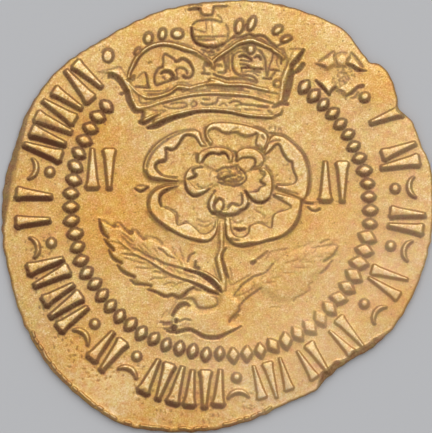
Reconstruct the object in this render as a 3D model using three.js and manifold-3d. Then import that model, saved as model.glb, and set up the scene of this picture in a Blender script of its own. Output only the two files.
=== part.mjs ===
// A hammered gold coin, lying face up: an uneven hand-cut flan struck with a crowned rose on a leafy stalk
// inside a ring of beads, and on the underside with a plain thistle. One piece of metal, one solid.
// Millimetres, +Z up, +Y towards the crown. The origin is under the middle of the coin, on its resting plane.
import * as THREE from "three";
import { mergeVertices } from "three/addons/utils/BufferGeometryUtils.js";
import Module from "manifold-3d";

const wasm = await Module();
wasm.setup();

// Driving dimensions: the flan between its two fields, and how far each die raised the metal.
const FLAN_THICKNESS = 0.315;
const FLAN_EDGE_ROUND = 0.06;
const OBVERSE_RELIEF = 0.12;
const REVERSE_RELIEF = 0.07;
const RELIEF_ROOT = 0.02;
// How far a raised form's side slopes in on its way up: broad forms, ridges, and the finest lines.
const SLOPE = { form: 0.07, ridge: 0.06, line: 0.04 };
const GOLD = { color: 0xd9a95e, roughness: 0.38, metalness: 1.0 };

// The flan's edge as [clock angle in degrees from +X, radius]: cut and hammered by hand, so it is never quite
// round. It has two small splits at the upper right and a flat clipped stretch at the lower right.
const FLAN_EDGE = [
  [0, 10.15], [12, 10.3], [20, 10.18], [26, 10.2], [30.5, 9.95], [34, 10.2], [40, 10.52], [43.5, 10.42],
  [46, 10.22], [51, 10.4], [56, 10.6], [66, 10.5], [78, 10.34], [90, 10.1], [110, 9.98], [124, 9.93],
  [137, 10.15], [150, 10.22], [162, 10.1], [172, 10.2], [185, 10.16], [196, 10.15], [208, 10.4],
  [222, 10.6], [244, 10.64], [256, 10.4], [268, 10.05], [280, 9.6], [291, 9.28], [299, 9.38], [304, 9.1],
  [314, 9.02], [320, 9.5], [330, 9.82], [342, 9.92], [352, 10.08],
];
const FLAN_EDGE_STEPS = 96;
// On the left the upper edge is rubbed down to a slope, widest at this angle and dying out to both sides.
const EDGE_SLOPE = { angle: 170, spread: 10, width: 0.5 };

const RING = { x: 0.21, y: 0.63, radius: 7.08, dent: 0.36, dentAngle: 43 };
const BEADS = { count: 54, from: 54.7, to: -220.4, long: 0.4, wide: 0.29, slope: 0.145, sides: 6 };

// The rose is a double one: five broad petals on an oval, parted at the notch angles, and five within.
// inner, rim and lobe are shares of the oval's reach, and gap and rimTurn are degrees round it.
const ROSE = {
  x: 0.5, y: 1.55, reachX: 3.95, reachY: 2.9, notches: [55.8, 115.2, 180, 265.2, 347],
  inner: 0.5, rim: 0.17, rimTurn: 5, gap: 2.2, lobe: 0.16,
};
const CORE = {
  x: 0.53, y: 1.65, reachX: 2.08, reachY: 1.62, notches: [26.9, 78.7, 142.6, 220, 321],
  inner: 0.36, rim: 0.22, rimTurn: 7, gap: 3, lobe: 0.14,
};
const PETAL = { steps: 8, plateHeight: 0.45, plateInset: 0.02, rootFrom: 0.15 };
const SCALLOPS = { count: 3, depth: 0.25 };
const BOSS = { x: 0.6, y: 1.9, reachX: 0.62, reachY: 0.46, slope: 0.12, height: 0.9, sides: 12 };
// The green tips between the petals, each by its place and direction.
const BARBS = [[-3.62, 1.32, 180], [2.68, 4.08, 50], [4.5, 0.52, 345]];
const BARB = { long: 0.36, wide: 0.16, height: 0.8 };

const STALK = {
  path: [[0.2, -0.95], [0.26, -1.6], [0.14, -2.4], [0.36, -3.4], [0.05, -4.4], [-0.85, -4.95], [-1.9, -5.05]],
  halfWidths: [0.13, 0.16, 0.2, 0.4, 0.62, 0.55, 0.38],
  height: 0.85,
};
const LEFT_LEAF = { base: [0.02, -3.32], tip: [-5.5, -0.22], halfWidth: 1.12, teeth: 7, height: 1 };
const RIGHT_LEAF = { base: [0.75, -3.55], tip: [5.6, -1.42], halfWidth: 0.95, teeth: 6, height: 0.75 };
// Every leaf: its blade's height, its teeth, its mid-rib from end to end, and the side veins that leave it.
const BLADE = { height: 0.7, tooth: 0.1, hollow: 0.86, hollowAt: 0.35, toothAt: 0.62 };
const RIB = { from: 0.02, to: 0.86, halfWidths: [0.14, 0.1, 0.08] };
const VEINS = { count: 3, from: 0.24, step: 0.2, lean: 0.16, reach: 0.7, start: 0.12, halfWidth: 0.09 };

// The crown's circlet is a set of arcs about one centre far below it, with a row of jewels between two of them.
const CIRCLET = { x: -0.25, y: -5.5, halfAngle: 17.4, halfWidth: 0.1, steps: 9 };
const CIRCLET_HOOPS = [10.5, 11.0, 11.32, 11.62];
const JEWELS = { radius: 10.76, angles: [-9.2, -4.4, -0.6, 4.2, 8.6, 13], long: 0.36, wide: 0.1, height: 0.9 };
const LEFT_ARCH = { x: -2.15, y: 6.6, reachX: 1.95, reachY: 1.45, from: 184, to: 14 };
const RIGHT_ARCH = { x: 1.5, y: 6.85, reachX: 1.65, reachY: 1.5, from: 168, to: -6 };
const ARCH = { halfWidth: 0.12, steps: 12 };
const LEFT_PEARLS = { angles: [118, 100, 83], reach: 1.33, radius: 0.23 };
const RIGHT_PEARLS = { angles: [105, 84, 53, 36], reach: 1.38, radius: 0.25 };
const PEARL_SIDES = 6;
const LEFT_FLARE = [[-3.5, 4.72], [-3.98, 5.45], [-4.32, 6.15], [-4.8, 6.72], [-5.45, 6.82]];
const RIGHT_FLARE = [[2.95, 4.95], [3.24, 5.5], [3.46, 6.4], [3.92, 7.05], [3.55, 7.35], [3.95, 7.8]];
const FLARE_HALF_WIDTH = 0.15;
const ORB = { x: -0.33, y: 8.58, reachX: 0.84, reachY: 0.69, halfWidth: 0.1, sides: 16 };
const ORB_BAND = { drop: 0.16, halfWidth: 0.08, height: 0.8 };
const ORB_CROSS = { x: -0.42, y: 9.66, arm: 0.62, top: 0.2, halfWidth: 0.15, height: 0.8 };
const LILIES = [{ x: -2.05, y: 6.8, turn: -14 }, { x: 1.6, y: 7.1, turn: 4 }];
const LILY = { rise: 0.25, long: 0.52, wide: 0.19, aside: 0.4, sideRise: 0.02, sideLong: 0.42, spread: 68 };
const LILY_BAR = { drop: 0.42, reach: 0.5, halfWidth: 0.11, height: 0.9 };

// The legend round the edge, about the ring's centre: marks of one to three wedge strokes that spell nothing,
// as [angle, strokes], and stops, each a pellet with a crescent outside it. A worn rosette stands by the crown.
const LEGEND_RADIUS = 8.75;
const LEGEND_MARKS = [
  [28, 1], [15, 2], [-7, 2], [-26, 2], [-52, 3], [-72, 2], [-96, 2], [-108, 2],
  [-130, 2], [-147, 2], [-160, 2], [-176, 1], [-184, 1], [-197, 2], [-210, 2], [-220, 2],
];
const LEGEND_STOPS = [37, 5, -14, -35, -85, -119, -136.5, -167, -190.5];
const STROKE = { long: 1.6, broad: 0.26, narrow: 0.14, apart: 2.2 };
const PELLET = { radius: 0.27, ring: 8.2, sides: 8 };
const CRESCENT = { ring: 9.4, bend: 0.55, half: 0.11, span: 55, taper: [0.5, 0.9, 1, 0.9, 0.5] };
const ROSETTE = { x: 5.7, y: 6.9, petals: 6, reach: 0.5, long: 0.36, wide: 0.17, height: 0.6 };
// Beside the rose, a pair of upright strokes on each hand.
const SIDE_STROKES = [[-5.45, 2.3], [5.5, 1.7]];
const SIDE_STROKE = { long: 1.75, apart: 0.38 };

// The underside is plainer: a raised circle, single strokes and a thistle.
const REVERSE_RING = { radius: 7.0, halfWidth: 0.13, steps: 40 };
const REVERSE_STROKES = { count: 26, radius: 8.5, long: 1.4 };
const BULB = { x: 0, y: 0, reachX: 1.5, reachY: 1.35, sides: 20 };
const TUFT = { y: 0.3, reach: 2.5, strokes: 7, fan: 15, long: 1.5 };
const THISTLE_STALK = {
  path: [[0, -1.2], [0.1, -2.6], [-0.15, -4.2], [-0.5, -5.2]],
  halfWidths: [0.22, 0.2, 0.24, 0.34],
  height: 1,
};
const THISTLE_LEAVES = [
  { base: [-0.2, -4.0], tip: [-5.2, -0.9], halfWidth: 0.95, teeth: 5, height: 1 },
  { base: [0.15, -4.0], tip: [5.2, -0.9], halfWidth: 0.95, teeth: 5, height: 1 },
];

const at = (x, y) => new THREE.Vector2(x, y);
const radians = THREE.MathUtils.degToRad;

// A point on an oval, by its angle in degrees and as a share of the oval's reach.
function onOval(oval, degrees, share = 1) {
  const t = radians(degrees);
  return at(oval.x + oval.reachX * share * Math.cos(t), oval.y + oval.reachY * share * Math.sin(t));
}

function circle(x, y, radius) {
  return { x, y, reachX: radius, reachY: radius };
}

// An outline drawn about the origin, turned by an angle in degrees and set down at a place.
function setDown(outline, place, turn) {
  return outline.map((p) => p.clone().rotateAround(at(0, 0), radians(turn)).add(place));
}

// A closed outline round an oval, and a six-cornered lens, pointed at both ends of its length.
function ovalOutline(oval, sides) {
  return Array.from({ length: sides }, (_, i) => onOval(oval, (360 * i) / sides));
}

function lensOutline(place, long, wide, turn) {
  const corners = [[1, 0], [0.35, 0.85], [-0.35, 0.85], [-1, 0], [-0.35, -0.85], [0.35, -0.85]];
  return setDown(corners.map(([u, v]) => at(u * long, v * wide)), place, turn);
}

// The outline of a stroke along a path: half its width is one size, or a list with one for each point.
function stripOutline(path, halfWidths) {
  const side = (sign) =>
    path.map((p, i) => {
      const before = path[Math.max(i - 1, 0)];
      const after = path[Math.min(i + 1, path.length - 1)];
      const across = after.clone().sub(before).normalize().rotateAround(at(0, 0), Math.PI / 2);
      const half = Array.isArray(halfWidths) ? halfWidths[i] : halfWidths;
      return p.clone().addScaledVector(across, sign * half);
    });
  return [...side(-1), ...side(1).reverse()];
}

function arcPath(oval, from, to, steps) {
  return Array.from({ length: steps + 1 }, (_, i) => onOval(oval, from + ((to - from) * i) / steps));
}

const asPoints = (pairs) => pairs.map(([x, y]) => at(x, y));

// One raised form of the die: its outline at the field, sloping in to a flat top. It is rooted in the flan.
function raised(outline, height, slope = SLOPE.form, hole = null) {
  const shape = new THREE.Shape(outline);
  if (hole) shape.holes.push(new THREE.Path(hole));
  const geometry = new THREE.ExtrudeGeometry(shape, {
    depth: RELIEF_ROOT,
    bevelThickness: height,
    bevelSize: slope,
    bevelOffset: -slope,
    bevelSegments: 1,
    curveSegments: 1,
  });
  return geometry.translate(0, 0, -RELIEF_ROOT);
}

// A petal of a heraldic rose between two notches: a low plate, with a turned-over rim that is scalloped inside.
function petal(rose, from, to, height) {
  const across = (inset, u) => from + inset + u * (to - from - 2 * inset);
  const lobe = (u) => 1 - rose.lobe * Math.abs(2 * u - 1) ** 5;
  const scallop = (u) => rose.rim * (1 + SCALLOPS.depth * Math.cos(2 * Math.PI * SCALLOPS.count * u));
  const shares = Array.from({ length: PETAL.steps + 1 }, (_, i) => i / PETAL.steps);
  const outer = shares.map((u) => onOval(rose, across(rose.gap, u), lobe(u)));
  const inner = shares.map((u) => onOval(rose, across(rose.gap + rose.rimTurn, u), lobe(u) - scallop(u)));
  const plate = shares.map((u) => onOval(rose, across(rose.gap + 1, u), lobe(u) - PETAL.plateInset));
  const root = [1 - PETAL.rootFrom, PETAL.rootFrom].map((u) => onOval(rose, across(rose.gap, u), rose.inner));
  return [
    raised([...plate, ...root], height * PETAL.plateHeight, SLOPE.ridge),
    raised([...outer, ...inner.reverse()], height, SLOPE.ridge),
  ];
}

function petalsOf(rose, height) {
  return rose.notches.flatMap((from, i) => {
    const next = rose.notches[(i + 1) % rose.notches.length];
    return petal(rose, from, next > from ? next : next + 360, height);
  });
}

// A toothed leaf from its base to its tip, with a mid-rib and a few side veins standing on its blade.
function leaf({ base, tip, halfWidth, teeth, height: share }, fullHeight) {
  const height = fullHeight * share;
  const root = at(...base);
  const along = at(...tip).sub(root);
  const across = along.clone().normalize().rotateAround(at(0, 0), Math.PI / 2);
  const place = (t, v) => root.clone().addScaledVector(along, t).addScaledVector(across, v);
  const blade = (t) => halfWidth * Math.sin(Math.PI * t ** 0.85) ** 0.8;
  const margin = (side) =>
    Array.from({ length: teeth }, (_, i) => [
      place((i + BLADE.hollowAt) / teeth, side * BLADE.hollow * blade((i + 0.5) / teeth)),
      place((i + BLADE.toothAt) / teeth, side * (BLADE.tooth + blade((i + BLADE.toothAt) / teeth))),
    ]).flat();
  const outline = [root, ...margin(-1), at(...tip), ...margin(1).reverse()];
  const rib = [place(RIB.from, 0), place((RIB.from + RIB.to) / 2, 0), place(RIB.to, 0)];
  const lines = [stripOutline(rib, RIB.halfWidths)];
  for (const side of [-1, 1]) {
    for (let i = 0; i < VEINS.count; i++) {
      const t = VEINS.from + VEINS.step * i;
      const end = place(t + VEINS.lean, side * VEINS.reach * blade(t + VEINS.lean));
      lines.push(stripOutline([place(t, side * VEINS.start), end], VEINS.halfWidth));
    }
  }
  return [raised(outline, height * BLADE.height), ...lines.map((line) => raised(line, height, SLOPE.line))];
}

// A wedge-shaped stroke of the punch: broad at one end, drawn in to the other.
function wedge(place, turn, long, flip, height) {
  const halfWidths = flip ? [STROKE.broad, STROKE.narrow] : [STROKE.narrow, STROKE.broad];
  const outline = stripOutline([at(-long / 2, 0), at(long / 2, 0)], halfWidths);
  return raised(setDown(outline, place, turn), height);
}

function beadRing(height) {
  const bead = ovalOutline({ x: 0, y: 0, reachX: BEADS.long, reachY: BEADS.wide }, BEADS.sides);
  return Array.from({ length: BEADS.count }, (_, i) => {
    const angle = BEADS.from + ((BEADS.to - BEADS.from) * i) / (BEADS.count - 1);
    const dent = RING.dent * Math.max(0, Math.cos(radians(angle - RING.dentAngle))) ** 4;
    const place = onOval(circle(RING.x, RING.y, RING.radius - dent), angle);
    return raised(setDown(bead, place, angle), height, BEADS.slope);
  });
}

function legend(height) {
  const about = (radius) => circle(RING.x, RING.y, radius);
  const marks = LEGEND_MARKS.flatMap(([angle, strokes]) =>
    Array.from({ length: strokes }, (_, i) => {
      const place = onOval(about(LEGEND_RADIUS), angle + STROKE.apart * (2 * i - strokes + 1));
      return wedge(place, angle, STROKE.long, i % 2 > 0, height);
    }),
  );
  const halfWidths = CRESCENT.taper.map((share) => share * CRESCENT.half);
  const bend = circle(0, 0, CRESCENT.bend);
  const bow = arcPath(bend, 180 - CRESCENT.span, 180 + CRESCENT.span, halfWidths.length - 1);
  const crescent = stripOutline(bow, halfWidths);
  const pellet = ovalOutline(circle(0, 0, PELLET.radius), PELLET.sides);
  const stops = LEGEND_STOPS.flatMap((angle) => [
    raised(setDown(pellet, onOval(about(PELLET.ring), angle), angle), height),
    raised(setDown(crescent, onOval(about(CRESCENT.ring), angle), angle), height, SLOPE.line),
  ]);
  return [...marks, ...stops];
}

function rosette(height) {
  const petals = Array.from({ length: ROSETTE.petals }, (_, i) => (360 * i) / ROSETTE.petals);
  const ring = circle(ROSETTE.x, ROSETTE.y, ROSETTE.reach);
  return petals.map((angle) => {
    const outline = lensOutline(onOval(ring, angle), ROSETTE.long, ROSETTE.wide, angle);
    return raised(outline, height * ROSETTE.height, SLOPE.line);
  });
}

function sideStrokes(height) {
  return SIDE_STROKES.flatMap(([x, y]) =>
    [-1, 1].map((side) => wedge(at(x + side * SIDE_STROKE.apart, y), 90, SIDE_STROKE.long, side > 0, height)),
  );
}

// A stalk along a smooth path, whose width changes evenly between the path's points.
function stalk({ path, halfWidths, height: share }, fullHeight) {
  const spans = path.length - 1;
  const line = new THREE.SplineCurve(asPoints(path)).getPoints(2 * spans);
  const widths = line.map((_, i) => (halfWidths[Math.floor(i / 2)] + halfWidths[Math.ceil(i / 2)]) / 2);
  return raised(stripOutline(line, widths), fullHeight * share);
}

// A small lily: an upright petal, two side petals and a bar across their foot.
function lily({ x, y, turn }, height) {
  const place = (u, v) => setDown([at(u, v)], at(x, y), turn)[0];
  const petals = [
    lensOutline(place(0, LILY.rise), LILY.long, LILY.wide, turn + 90),
    lensOutline(place(-LILY.aside, LILY.sideRise), LILY.sideLong, LILY.wide, turn + 90 + LILY.spread),
    lensOutline(place(LILY.aside, LILY.sideRise), LILY.sideLong, LILY.wide, turn + 90 - LILY.spread),
  ];
  const foot = [place(-LILY_BAR.reach, -LILY_BAR.drop), place(LILY_BAR.reach, -LILY_BAR.drop)];
  const bar = raised(stripOutline(foot, LILY_BAR.halfWidth), height * LILY_BAR.height, SLOPE.ridge);
  return [...petals.map((outline) => raised(outline, height, SLOPE.line)), bar];
}

// The orb that tops the crown: a ring with a band and an upright inside it, and a cross above.
function orb(height) {
  const { x, y, reachX, reachY, halfWidth, sides } = ORB;
  const within = { x, y, reachX: reachX - 2 * halfWidth, reachY: reachY - 2 * halfWidth };
  const bandY = y - ORB_BAND.drop;
  const bandReach = reachX - halfWidth;
  const top = y + reachY - halfWidth;
  const bands = [[at(x - bandReach, bandY), at(x + bandReach, bandY)], [at(x, bandY), at(x, top)]];
  const cross = [
    [at(ORB_CROSS.x - ORB_CROSS.arm, ORB_CROSS.y), at(ORB_CROSS.x + ORB_CROSS.arm, ORB_CROSS.y)],
    [at(ORB_CROSS.x, top), at(ORB_CROSS.x, ORB_CROSS.y + ORB_CROSS.top)],
  ];
  const bar = (path, size, slope) => raised(stripOutline(path, size.halfWidth), height * size.height, slope);
  return [
    raised(ovalOutline(ORB, sides), height, SLOPE.ridge, ovalOutline(within, sides)),
    ...bands.map((path) => bar(path, ORB_BAND, SLOPE.line)),
    ...cross.map((path) => bar(path, ORB_CROSS, SLOPE.ridge)),
  ];
}

function crown(height) {
  const up = (angle) => 90 - angle;
  const hoop = (radius) => circle(CIRCLET.x, CIRCLET.y, radius);
  const ridge = (path, halfWidth) => raised(stripOutline(path, halfWidth), height, SLOPE.ridge);
  const hoops = CIRCLET_HOOPS.map((radius) => {
    const path = arcPath(hoop(radius), up(-CIRCLET.halfAngle), up(CIRCLET.halfAngle), CIRCLET.steps);
    return ridge(path, CIRCLET.halfWidth);
  });
  const jewels = JEWELS.angles.map((angle) => {
    const outline = lensOutline(onOval(hoop(JEWELS.radius), up(angle)), JEWELS.long, JEWELS.wide, -angle);
    return raised(outline, height * JEWELS.height, SLOPE.line);
  });
  const arches = [LEFT_ARCH, RIGHT_ARCH].map((arch) =>
    ridge(arcPath(arch, arch.from, arch.to, ARCH.steps), ARCH.halfWidth),
  );
  const pearlsOn = (arch, { angles, reach, radius }) =>
    angles.map((angle) => {
      const p = onOval(arch, angle, reach);
      return raised(ovalOutline(circle(p.x, p.y, radius), PEARL_SIDES), height, SLOPE.ridge);
    });
  return [
    ...hoops,
    ...jewels,
    ...arches,
    ...pearlsOn(LEFT_ARCH, LEFT_PEARLS),
    ...pearlsOn(RIGHT_ARCH, RIGHT_PEARLS),
    ...[LEFT_FLARE, RIGHT_FLARE].map((flare) => ridge(asPoints(flare), FLARE_HALF_WIDTH)),
    ...LILIES.flatMap((place) => lily(place, height)),
    ...orb(height),
  ];
}

function obverse(height) {
  const barbs = BARBS.map(([x, y, turn]) => lensOutline(at(x, y), BARB.long, BARB.wide, turn));
  return [
    ...petalsOf(ROSE, height),
    ...petalsOf(CORE, height),
    raised(ovalOutline(BOSS, BOSS.sides), height * BOSS.height, BOSS.slope),
    ...barbs.map((outline) => raised(outline, height * BARB.height)),
    ...leaf(LEFT_LEAF, height),
    ...leaf(RIGHT_LEAF, height),
    stalk(STALK, height),
    ...crown(height),
    ...beadRing(height),
    ...legend(height),
    ...rosette(height),
    ...sideStrokes(height),
  ];
}

function reverse(height) {
  const { radius, halfWidth, steps } = REVERSE_RING;
  const ring = ovalOutline(circle(0, 0, radius + halfWidth), steps);
  const within = ovalOutline(circle(0, 0, radius - halfWidth), steps);
  const strokes = Array.from({ length: REVERSE_STROKES.count }, (_, i) => {
    const angle = (360 * i) / REVERSE_STROKES.count;
    const place = onOval(circle(0, 0, REVERSE_STROKES.radius), angle);
    return wedge(place, angle, REVERSE_STROKES.long, i % 2 > 0, height);
  });
  const tuft = Array.from({ length: TUFT.strokes }, (_, i) => {
    const angle = 90 + TUFT.fan * (i - (TUFT.strokes - 1) / 2);
    return wedge(onOval(circle(0, TUFT.y, TUFT.reach), angle), angle, TUFT.long, false, height);
  });
  return [
    raised(ring, height, SLOPE.form, within),
    raised(ovalOutline(BULB, BULB.sides), height),
    stalk(THISTLE_STALK, height),
    ...THISTLE_LEAVES.flatMap((blade) => leaf(blade, height)),
    ...tuft,
    ...strokes,
  ];
}

// The flan: its uneven outline as a smooth closed curve, extruded with a rounded edge, then rubbed down on
// the left.
function flanOutline() {
  const knots = FLAN_EDGE.map(([angle, radius]) => {
    const p = onOval(circle(0, 0, radius), angle);
    return new THREE.Vector3(p.x, p.y, 0);
  });
  const edge = new THREE.CatmullRomCurve3(knots, true, "centripetal").getSpacedPoints(FLAN_EDGE_STEPS);
  return edge.slice(0, FLAN_EDGE_STEPS).map((p) => at(p.x, p.y));
}

function flan(outline) {
  const geometry = new THREE.ExtrudeGeometry(new THREE.Shape(outline), {
    depth: FLAN_THICKNESS - 2 * FLAN_EDGE_ROUND,
    bevelThickness: FLAN_EDGE_ROUND,
    bevelSize: FLAN_EDGE_ROUND,
    bevelOffset: -FLAN_EDGE_ROUND,
    bevelSegments: 1,
  });
  geometry.translate(0, 0, FLAN_EDGE_ROUND);
  const place = geometry.getAttribute("position");
  for (let i = 0; i < place.count; i++) {
    const p = at(place.getX(i), place.getY(i));
    const turn = THREE.MathUtils.radToDeg(p.angle()) - EDGE_SLOPE.angle;
    const rubbed = EDGE_SLOPE.width * Math.exp(-((turn / EDGE_SLOPE.spread) ** 2));
    p.setLength(p.length() - (rubbed * place.getZ(i)) / FLAN_THICKNESS);
    place.setXY(i, p.x, p.y);
  }
  return geometry;
}

const MERGE_DISTANCE = 1e-4;

// Joining: each closed geometry becomes a solid, the dies' forms are added to the flan, and the flan's own
// outline trims whatever ran off its edge.
function solidOf(geometry) {
  geometry.deleteAttribute("normal");
  geometry.deleteAttribute("uv");
  const merged = mergeVertices(geometry, MERGE_DISTANCE);
  const mesh = { numProp: 3, vertProperties: merged.attributes.position.array, triVerts: merged.index.array };
  return new wasm.Manifold(new wasm.Mesh(mesh));
}

function strike() {
  const outline = flanOutline();
  const blank = solidOf(flan(outline).translate(0, 0, REVERSE_RELIEF));
  const obverseField = REVERSE_RELIEF + FLAN_THICKNESS;
  const upper = obverse(OBVERSE_RELIEF).map((form) => form.translate(0, 0, obverseField));
  const lower = reverse(REVERSE_RELIEF).map((form) => form.rotateY(Math.PI).translate(0, 0, REVERSE_RELIEF));
  const tall = { depth: 2 * obverseField, bevelEnabled: false };
  const trim = solidOf(new THREE.ExtrudeGeometry(new THREE.Shape(outline), tall).translate(0, 0, -RELIEF_ROOT));
  const forms = [...upper, ...lower].map(solidOf).reduce((joined, form) => joined.add(form));
  const { vertProperties, triVerts } = blank.add(forms.intersect(trim)).getMesh();
  const geometry = new THREE.BufferGeometry();
  geometry.setAttribute("position", new THREE.BufferAttribute(vertProperties, 3));
  geometry.setIndex(new THREE.BufferAttribute(triVerts, 1));
  geometry.computeBoundingBox();
  const middle = geometry.boundingBox.getCenter(new THREE.Vector3());
  return geometry.translate(-middle.x, -middle.y, 0);
}

const coin = new THREE.Mesh(strike(), new THREE.MeshStandardMaterial(GOLD));
coin.name = "gold_coin";

const part = new THREE.Group();
part.add(coin);
export default part;
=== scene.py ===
import math

import bmesh
import bpy
import numpy as np
from mathutils import Matrix, Vector


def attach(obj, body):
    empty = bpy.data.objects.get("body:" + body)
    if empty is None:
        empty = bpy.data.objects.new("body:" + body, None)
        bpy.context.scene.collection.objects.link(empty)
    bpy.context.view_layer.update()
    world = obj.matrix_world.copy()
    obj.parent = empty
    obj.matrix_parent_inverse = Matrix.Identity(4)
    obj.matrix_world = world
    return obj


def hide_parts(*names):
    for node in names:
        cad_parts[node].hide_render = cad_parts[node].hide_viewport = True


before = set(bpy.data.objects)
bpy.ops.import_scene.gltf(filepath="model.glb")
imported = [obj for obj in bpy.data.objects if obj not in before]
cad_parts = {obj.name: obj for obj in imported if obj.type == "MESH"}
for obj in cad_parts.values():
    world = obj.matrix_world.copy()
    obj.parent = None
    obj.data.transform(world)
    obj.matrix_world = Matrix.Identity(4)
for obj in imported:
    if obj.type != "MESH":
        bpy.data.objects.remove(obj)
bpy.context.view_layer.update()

# The flan. A thin blank of gold, cut round by hand and hammered flat, so that its edge wanders, is split in
# two places at the upper right and runs nearly straight where it was clipped at the lower right.
EDGE_KNOTS = [  # clock angle from +X in degrees, radius in mm
    (0, 10.15), (12, 10.3), (20, 10.18), (26, 10.2), (30.5, 9.95), (34, 10.2), (40, 10.52), (43.5, 10.42),
    (46, 10.22), (51, 10.4), (56, 10.62), (66, 10.5), (78, 10.34), (90, 10.12), (100, 10.05), (110, 9.98),
    (124, 9.93), (137, 10.17), (150, 10.2), (162, 10.12), (172, 10.22), (185, 10.16), (196, 10.15),
    (208, 10.36), (222, 10.6), (236, 10.7), (246, 10.74), (256, 10.42), (268, 10.08), (280, 9.7),
    (291, 9.38), (299, 9.42), (304, 9.2), (310, 9.17), (315, 9.3), (320, 9.58), (330, 9.85), (342, 9.97),
    (352, 10.08),
]
EDGE_RAGGED = 0.07
RAGGED_COUNT = 12
random = np.random.default_rng(1603)


def smooth(points, closed=False, steps=6):
    """A Catmull-Rom curve through given points, as a row of closely set ones."""
    knots = np.asarray(points, float)
    if closed:
        knots = np.vstack([knots[-1:], knots, knots[:2]])
    else:
        knots = np.vstack([2 * knots[0] - knots[1], knots, 2 * knots[-1] - knots[-2]])
    a, b, c, d = knots[:-3, None], knots[1:-2, None], knots[2:-1, None], knots[3:, None]
    t = np.linspace(0, 1, steps, endpoint=False)[None, :, None]
    spans = b + 0.5 * t * (c - a + t * (2 * a - 5 * b + 4 * c - d + t * (3 * (b - c) + d - a)))
    line = spans.reshape(-1, knots.shape[1])
    return line if closed else np.vstack([line, knots[-2:-1]])


def polar(angle, radius):
    """Points at clock angles in degrees from +X."""
    turn = np.radians(angle)
    return np.stack([radius * np.cos(turn), radius * np.sin(turn)], axis=-1)


edge_line = smooth(polar(*np.array(EDGE_KNOTS, float).T), closed=True)
edge_angle = np.degrees(np.arctan2(edge_line[:, 1], edge_line[:, 0])) % 360
edge_order = np.argsort(edge_angle)
ragged_phase = random.uniform(0, 360, RAGGED_COUNT)
ragged_waves = random.integers(24, 160, RAGGED_COUNT)


def edge_radius(angle):
    """The flan's radius in mm at clock angles in degrees, with the small raggedness of a cut edge."""
    at = np.asarray(angle) % 360
    smooth_radius = np.interp(at, edge_angle[edge_order], np.hypot(*edge_line[edge_order].T), period=360)
    waves = np.sin(np.radians(ragged_waves[:, None] * at.ravel() + ragged_phase[:, None]))
    return smooth_radius + EDGE_RAGGED * waves.mean(0).reshape(at.shape)


# The outline above is laid out on the photograph's frame, and the CAD box is centred on the origin.
edge_middle = (edge_line.min(0) + edge_line.max(0)) / 2

# The obverse die. A square of steel, worked here as a field of heights in mm with a cell every CELL mm, and a
# second field of how dark each cell is painted, partly as dirt and partly as painted shade. Each punch and
# graver stroke raises one form on the coin, and its lower sides slope out further, as the strike left them.
CELL = 0.03
DIE_HALF = 11.1
cells = int(2 * DIE_HALF / CELL)
axis = np.linspace(-DIE_HALF, DIE_HALF, cells)
die_x, die_y = np.meshgrid(axis, axis)
obverse = np.zeros((2, cells, cells))
RELIEF = 0.12
FOOT = 0.06  # how far in mm a form's side runs out beyond its outline
HIGH_SIDE, LOW_SIDE = 0.55, 2.3  # the share of the foot on either side
SHOULDER = 0.05  # how far in mm a form's side runs in to its flat top
RIDGE_ROUND = 0.8
BAND_TOP, BAND_FADE, BAND_FALL = 0.75, 0.028, 0.45  # the band painted up a form's side: partly dirt, partly painted shade, darker on the sides away from the lamp
GROOVE_SPREAD, GROOVE_FADE = 0.02, 0.036
BURR_FROM, BURR_HALF, BURR_HEIGHT, BURR_BELOW = 0.07, 0.05, 0.3, 0.3
CUT_STEEP = 10  # how fast a groove deepens with its half-width in mm, up to the full relief
UPHILL = np.array([0.15, 0.99])  # the way the high sides face, roughly towards the lamp; the sides facing away get the darker painted shade
PIT_HALF, PIT_LONG = 0.028, 0.055


def window(points, margin):
    """The part of the die round some points."""
    low = np.floor((points.min(0) - margin + DIE_HALF) / CELL).astype(int).clip(0, cells)
    high = np.ceil((points.max(0) + margin + DIE_HALF) / CELL).astype(int).clip(0, cells)
    return np.s_[low[1]:high[1], low[0]:high[0]]


def nearest(part, line, sizes=0.0):
    """How far each cell of a part lies from a line, less the line's own half-width there."""
    x, y = die_x[part], die_y[part]
    halves = np.broadcast_to(np.asarray(sizes, float), len(line))
    best = np.full(x.shape, np.inf)
    for (x0, y0), (x1, y1), half0, half1 in zip(line[:-1], line[1:], halves[:-1], halves[1:]):
        dx, dy = x1 - x0, y1 - y0
        along = (((x - x0) * dx + (y - y0) * dy) / (dx * dx + dy * dy + 1e-12)).clip(0, 1)
        far = np.hypot(x - x0 - along * dx, y - y0 - along * dy) - (half0 + along * (half1 - half0))
        np.minimum(best, far, out=best)
    return best


def inside(part, outline):
    """Which cells of a part lie within a closed outline."""
    x, y = die_x[part], die_y[part]
    within = np.zeros(x.shape, bool)
    for (x0, y0), (x1, y1) in zip(outline, np.roll(outline, -1, axis=0)):
        if y0 != y1:
            within ^= ((y0 > y) != (y1 > y)) & (x < x0 + (y - y0) * (x1 - x0) / (y1 - y0))
    return within


def strike(part, depth, height, foot, shoulder, shade_and_dirt, fall, die):
    """Raises a form by how deep within its outline each cell lies, and paints a brown band up its side,
    partly dirt and partly painted shade, darkest on the sides facing away from the lamp.
    """
    slope_y, slope_x = np.gradient(depth, CELL)
    lean = (slope_x * UPHILL[0] + slope_y * UPHILL[1]).clip(-1, 1)
    away_from_lamp = lean.clip(0, 1)
    spread = foot * np.interp(lean, (-1, 0, 1), (HIGH_SIDE, 1, LOW_SIDE))
    rise = ((depth + spread) / (spread + shoulder)).clip(0, 1)
    level = RELIEF * height * rise * rise * (3 - 2 * rise)
    band = (np.minimum(depth + spread, BAND_TOP * shoulder - depth) / BAND_FADE).clip(0, 1)
    over = level > die[0][part]
    die[0][part][over] = level[over]
    die[1][part][over] = (shade_and_dirt * band * (1 - fall * (1 - away_from_lamp)))[over]


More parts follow.
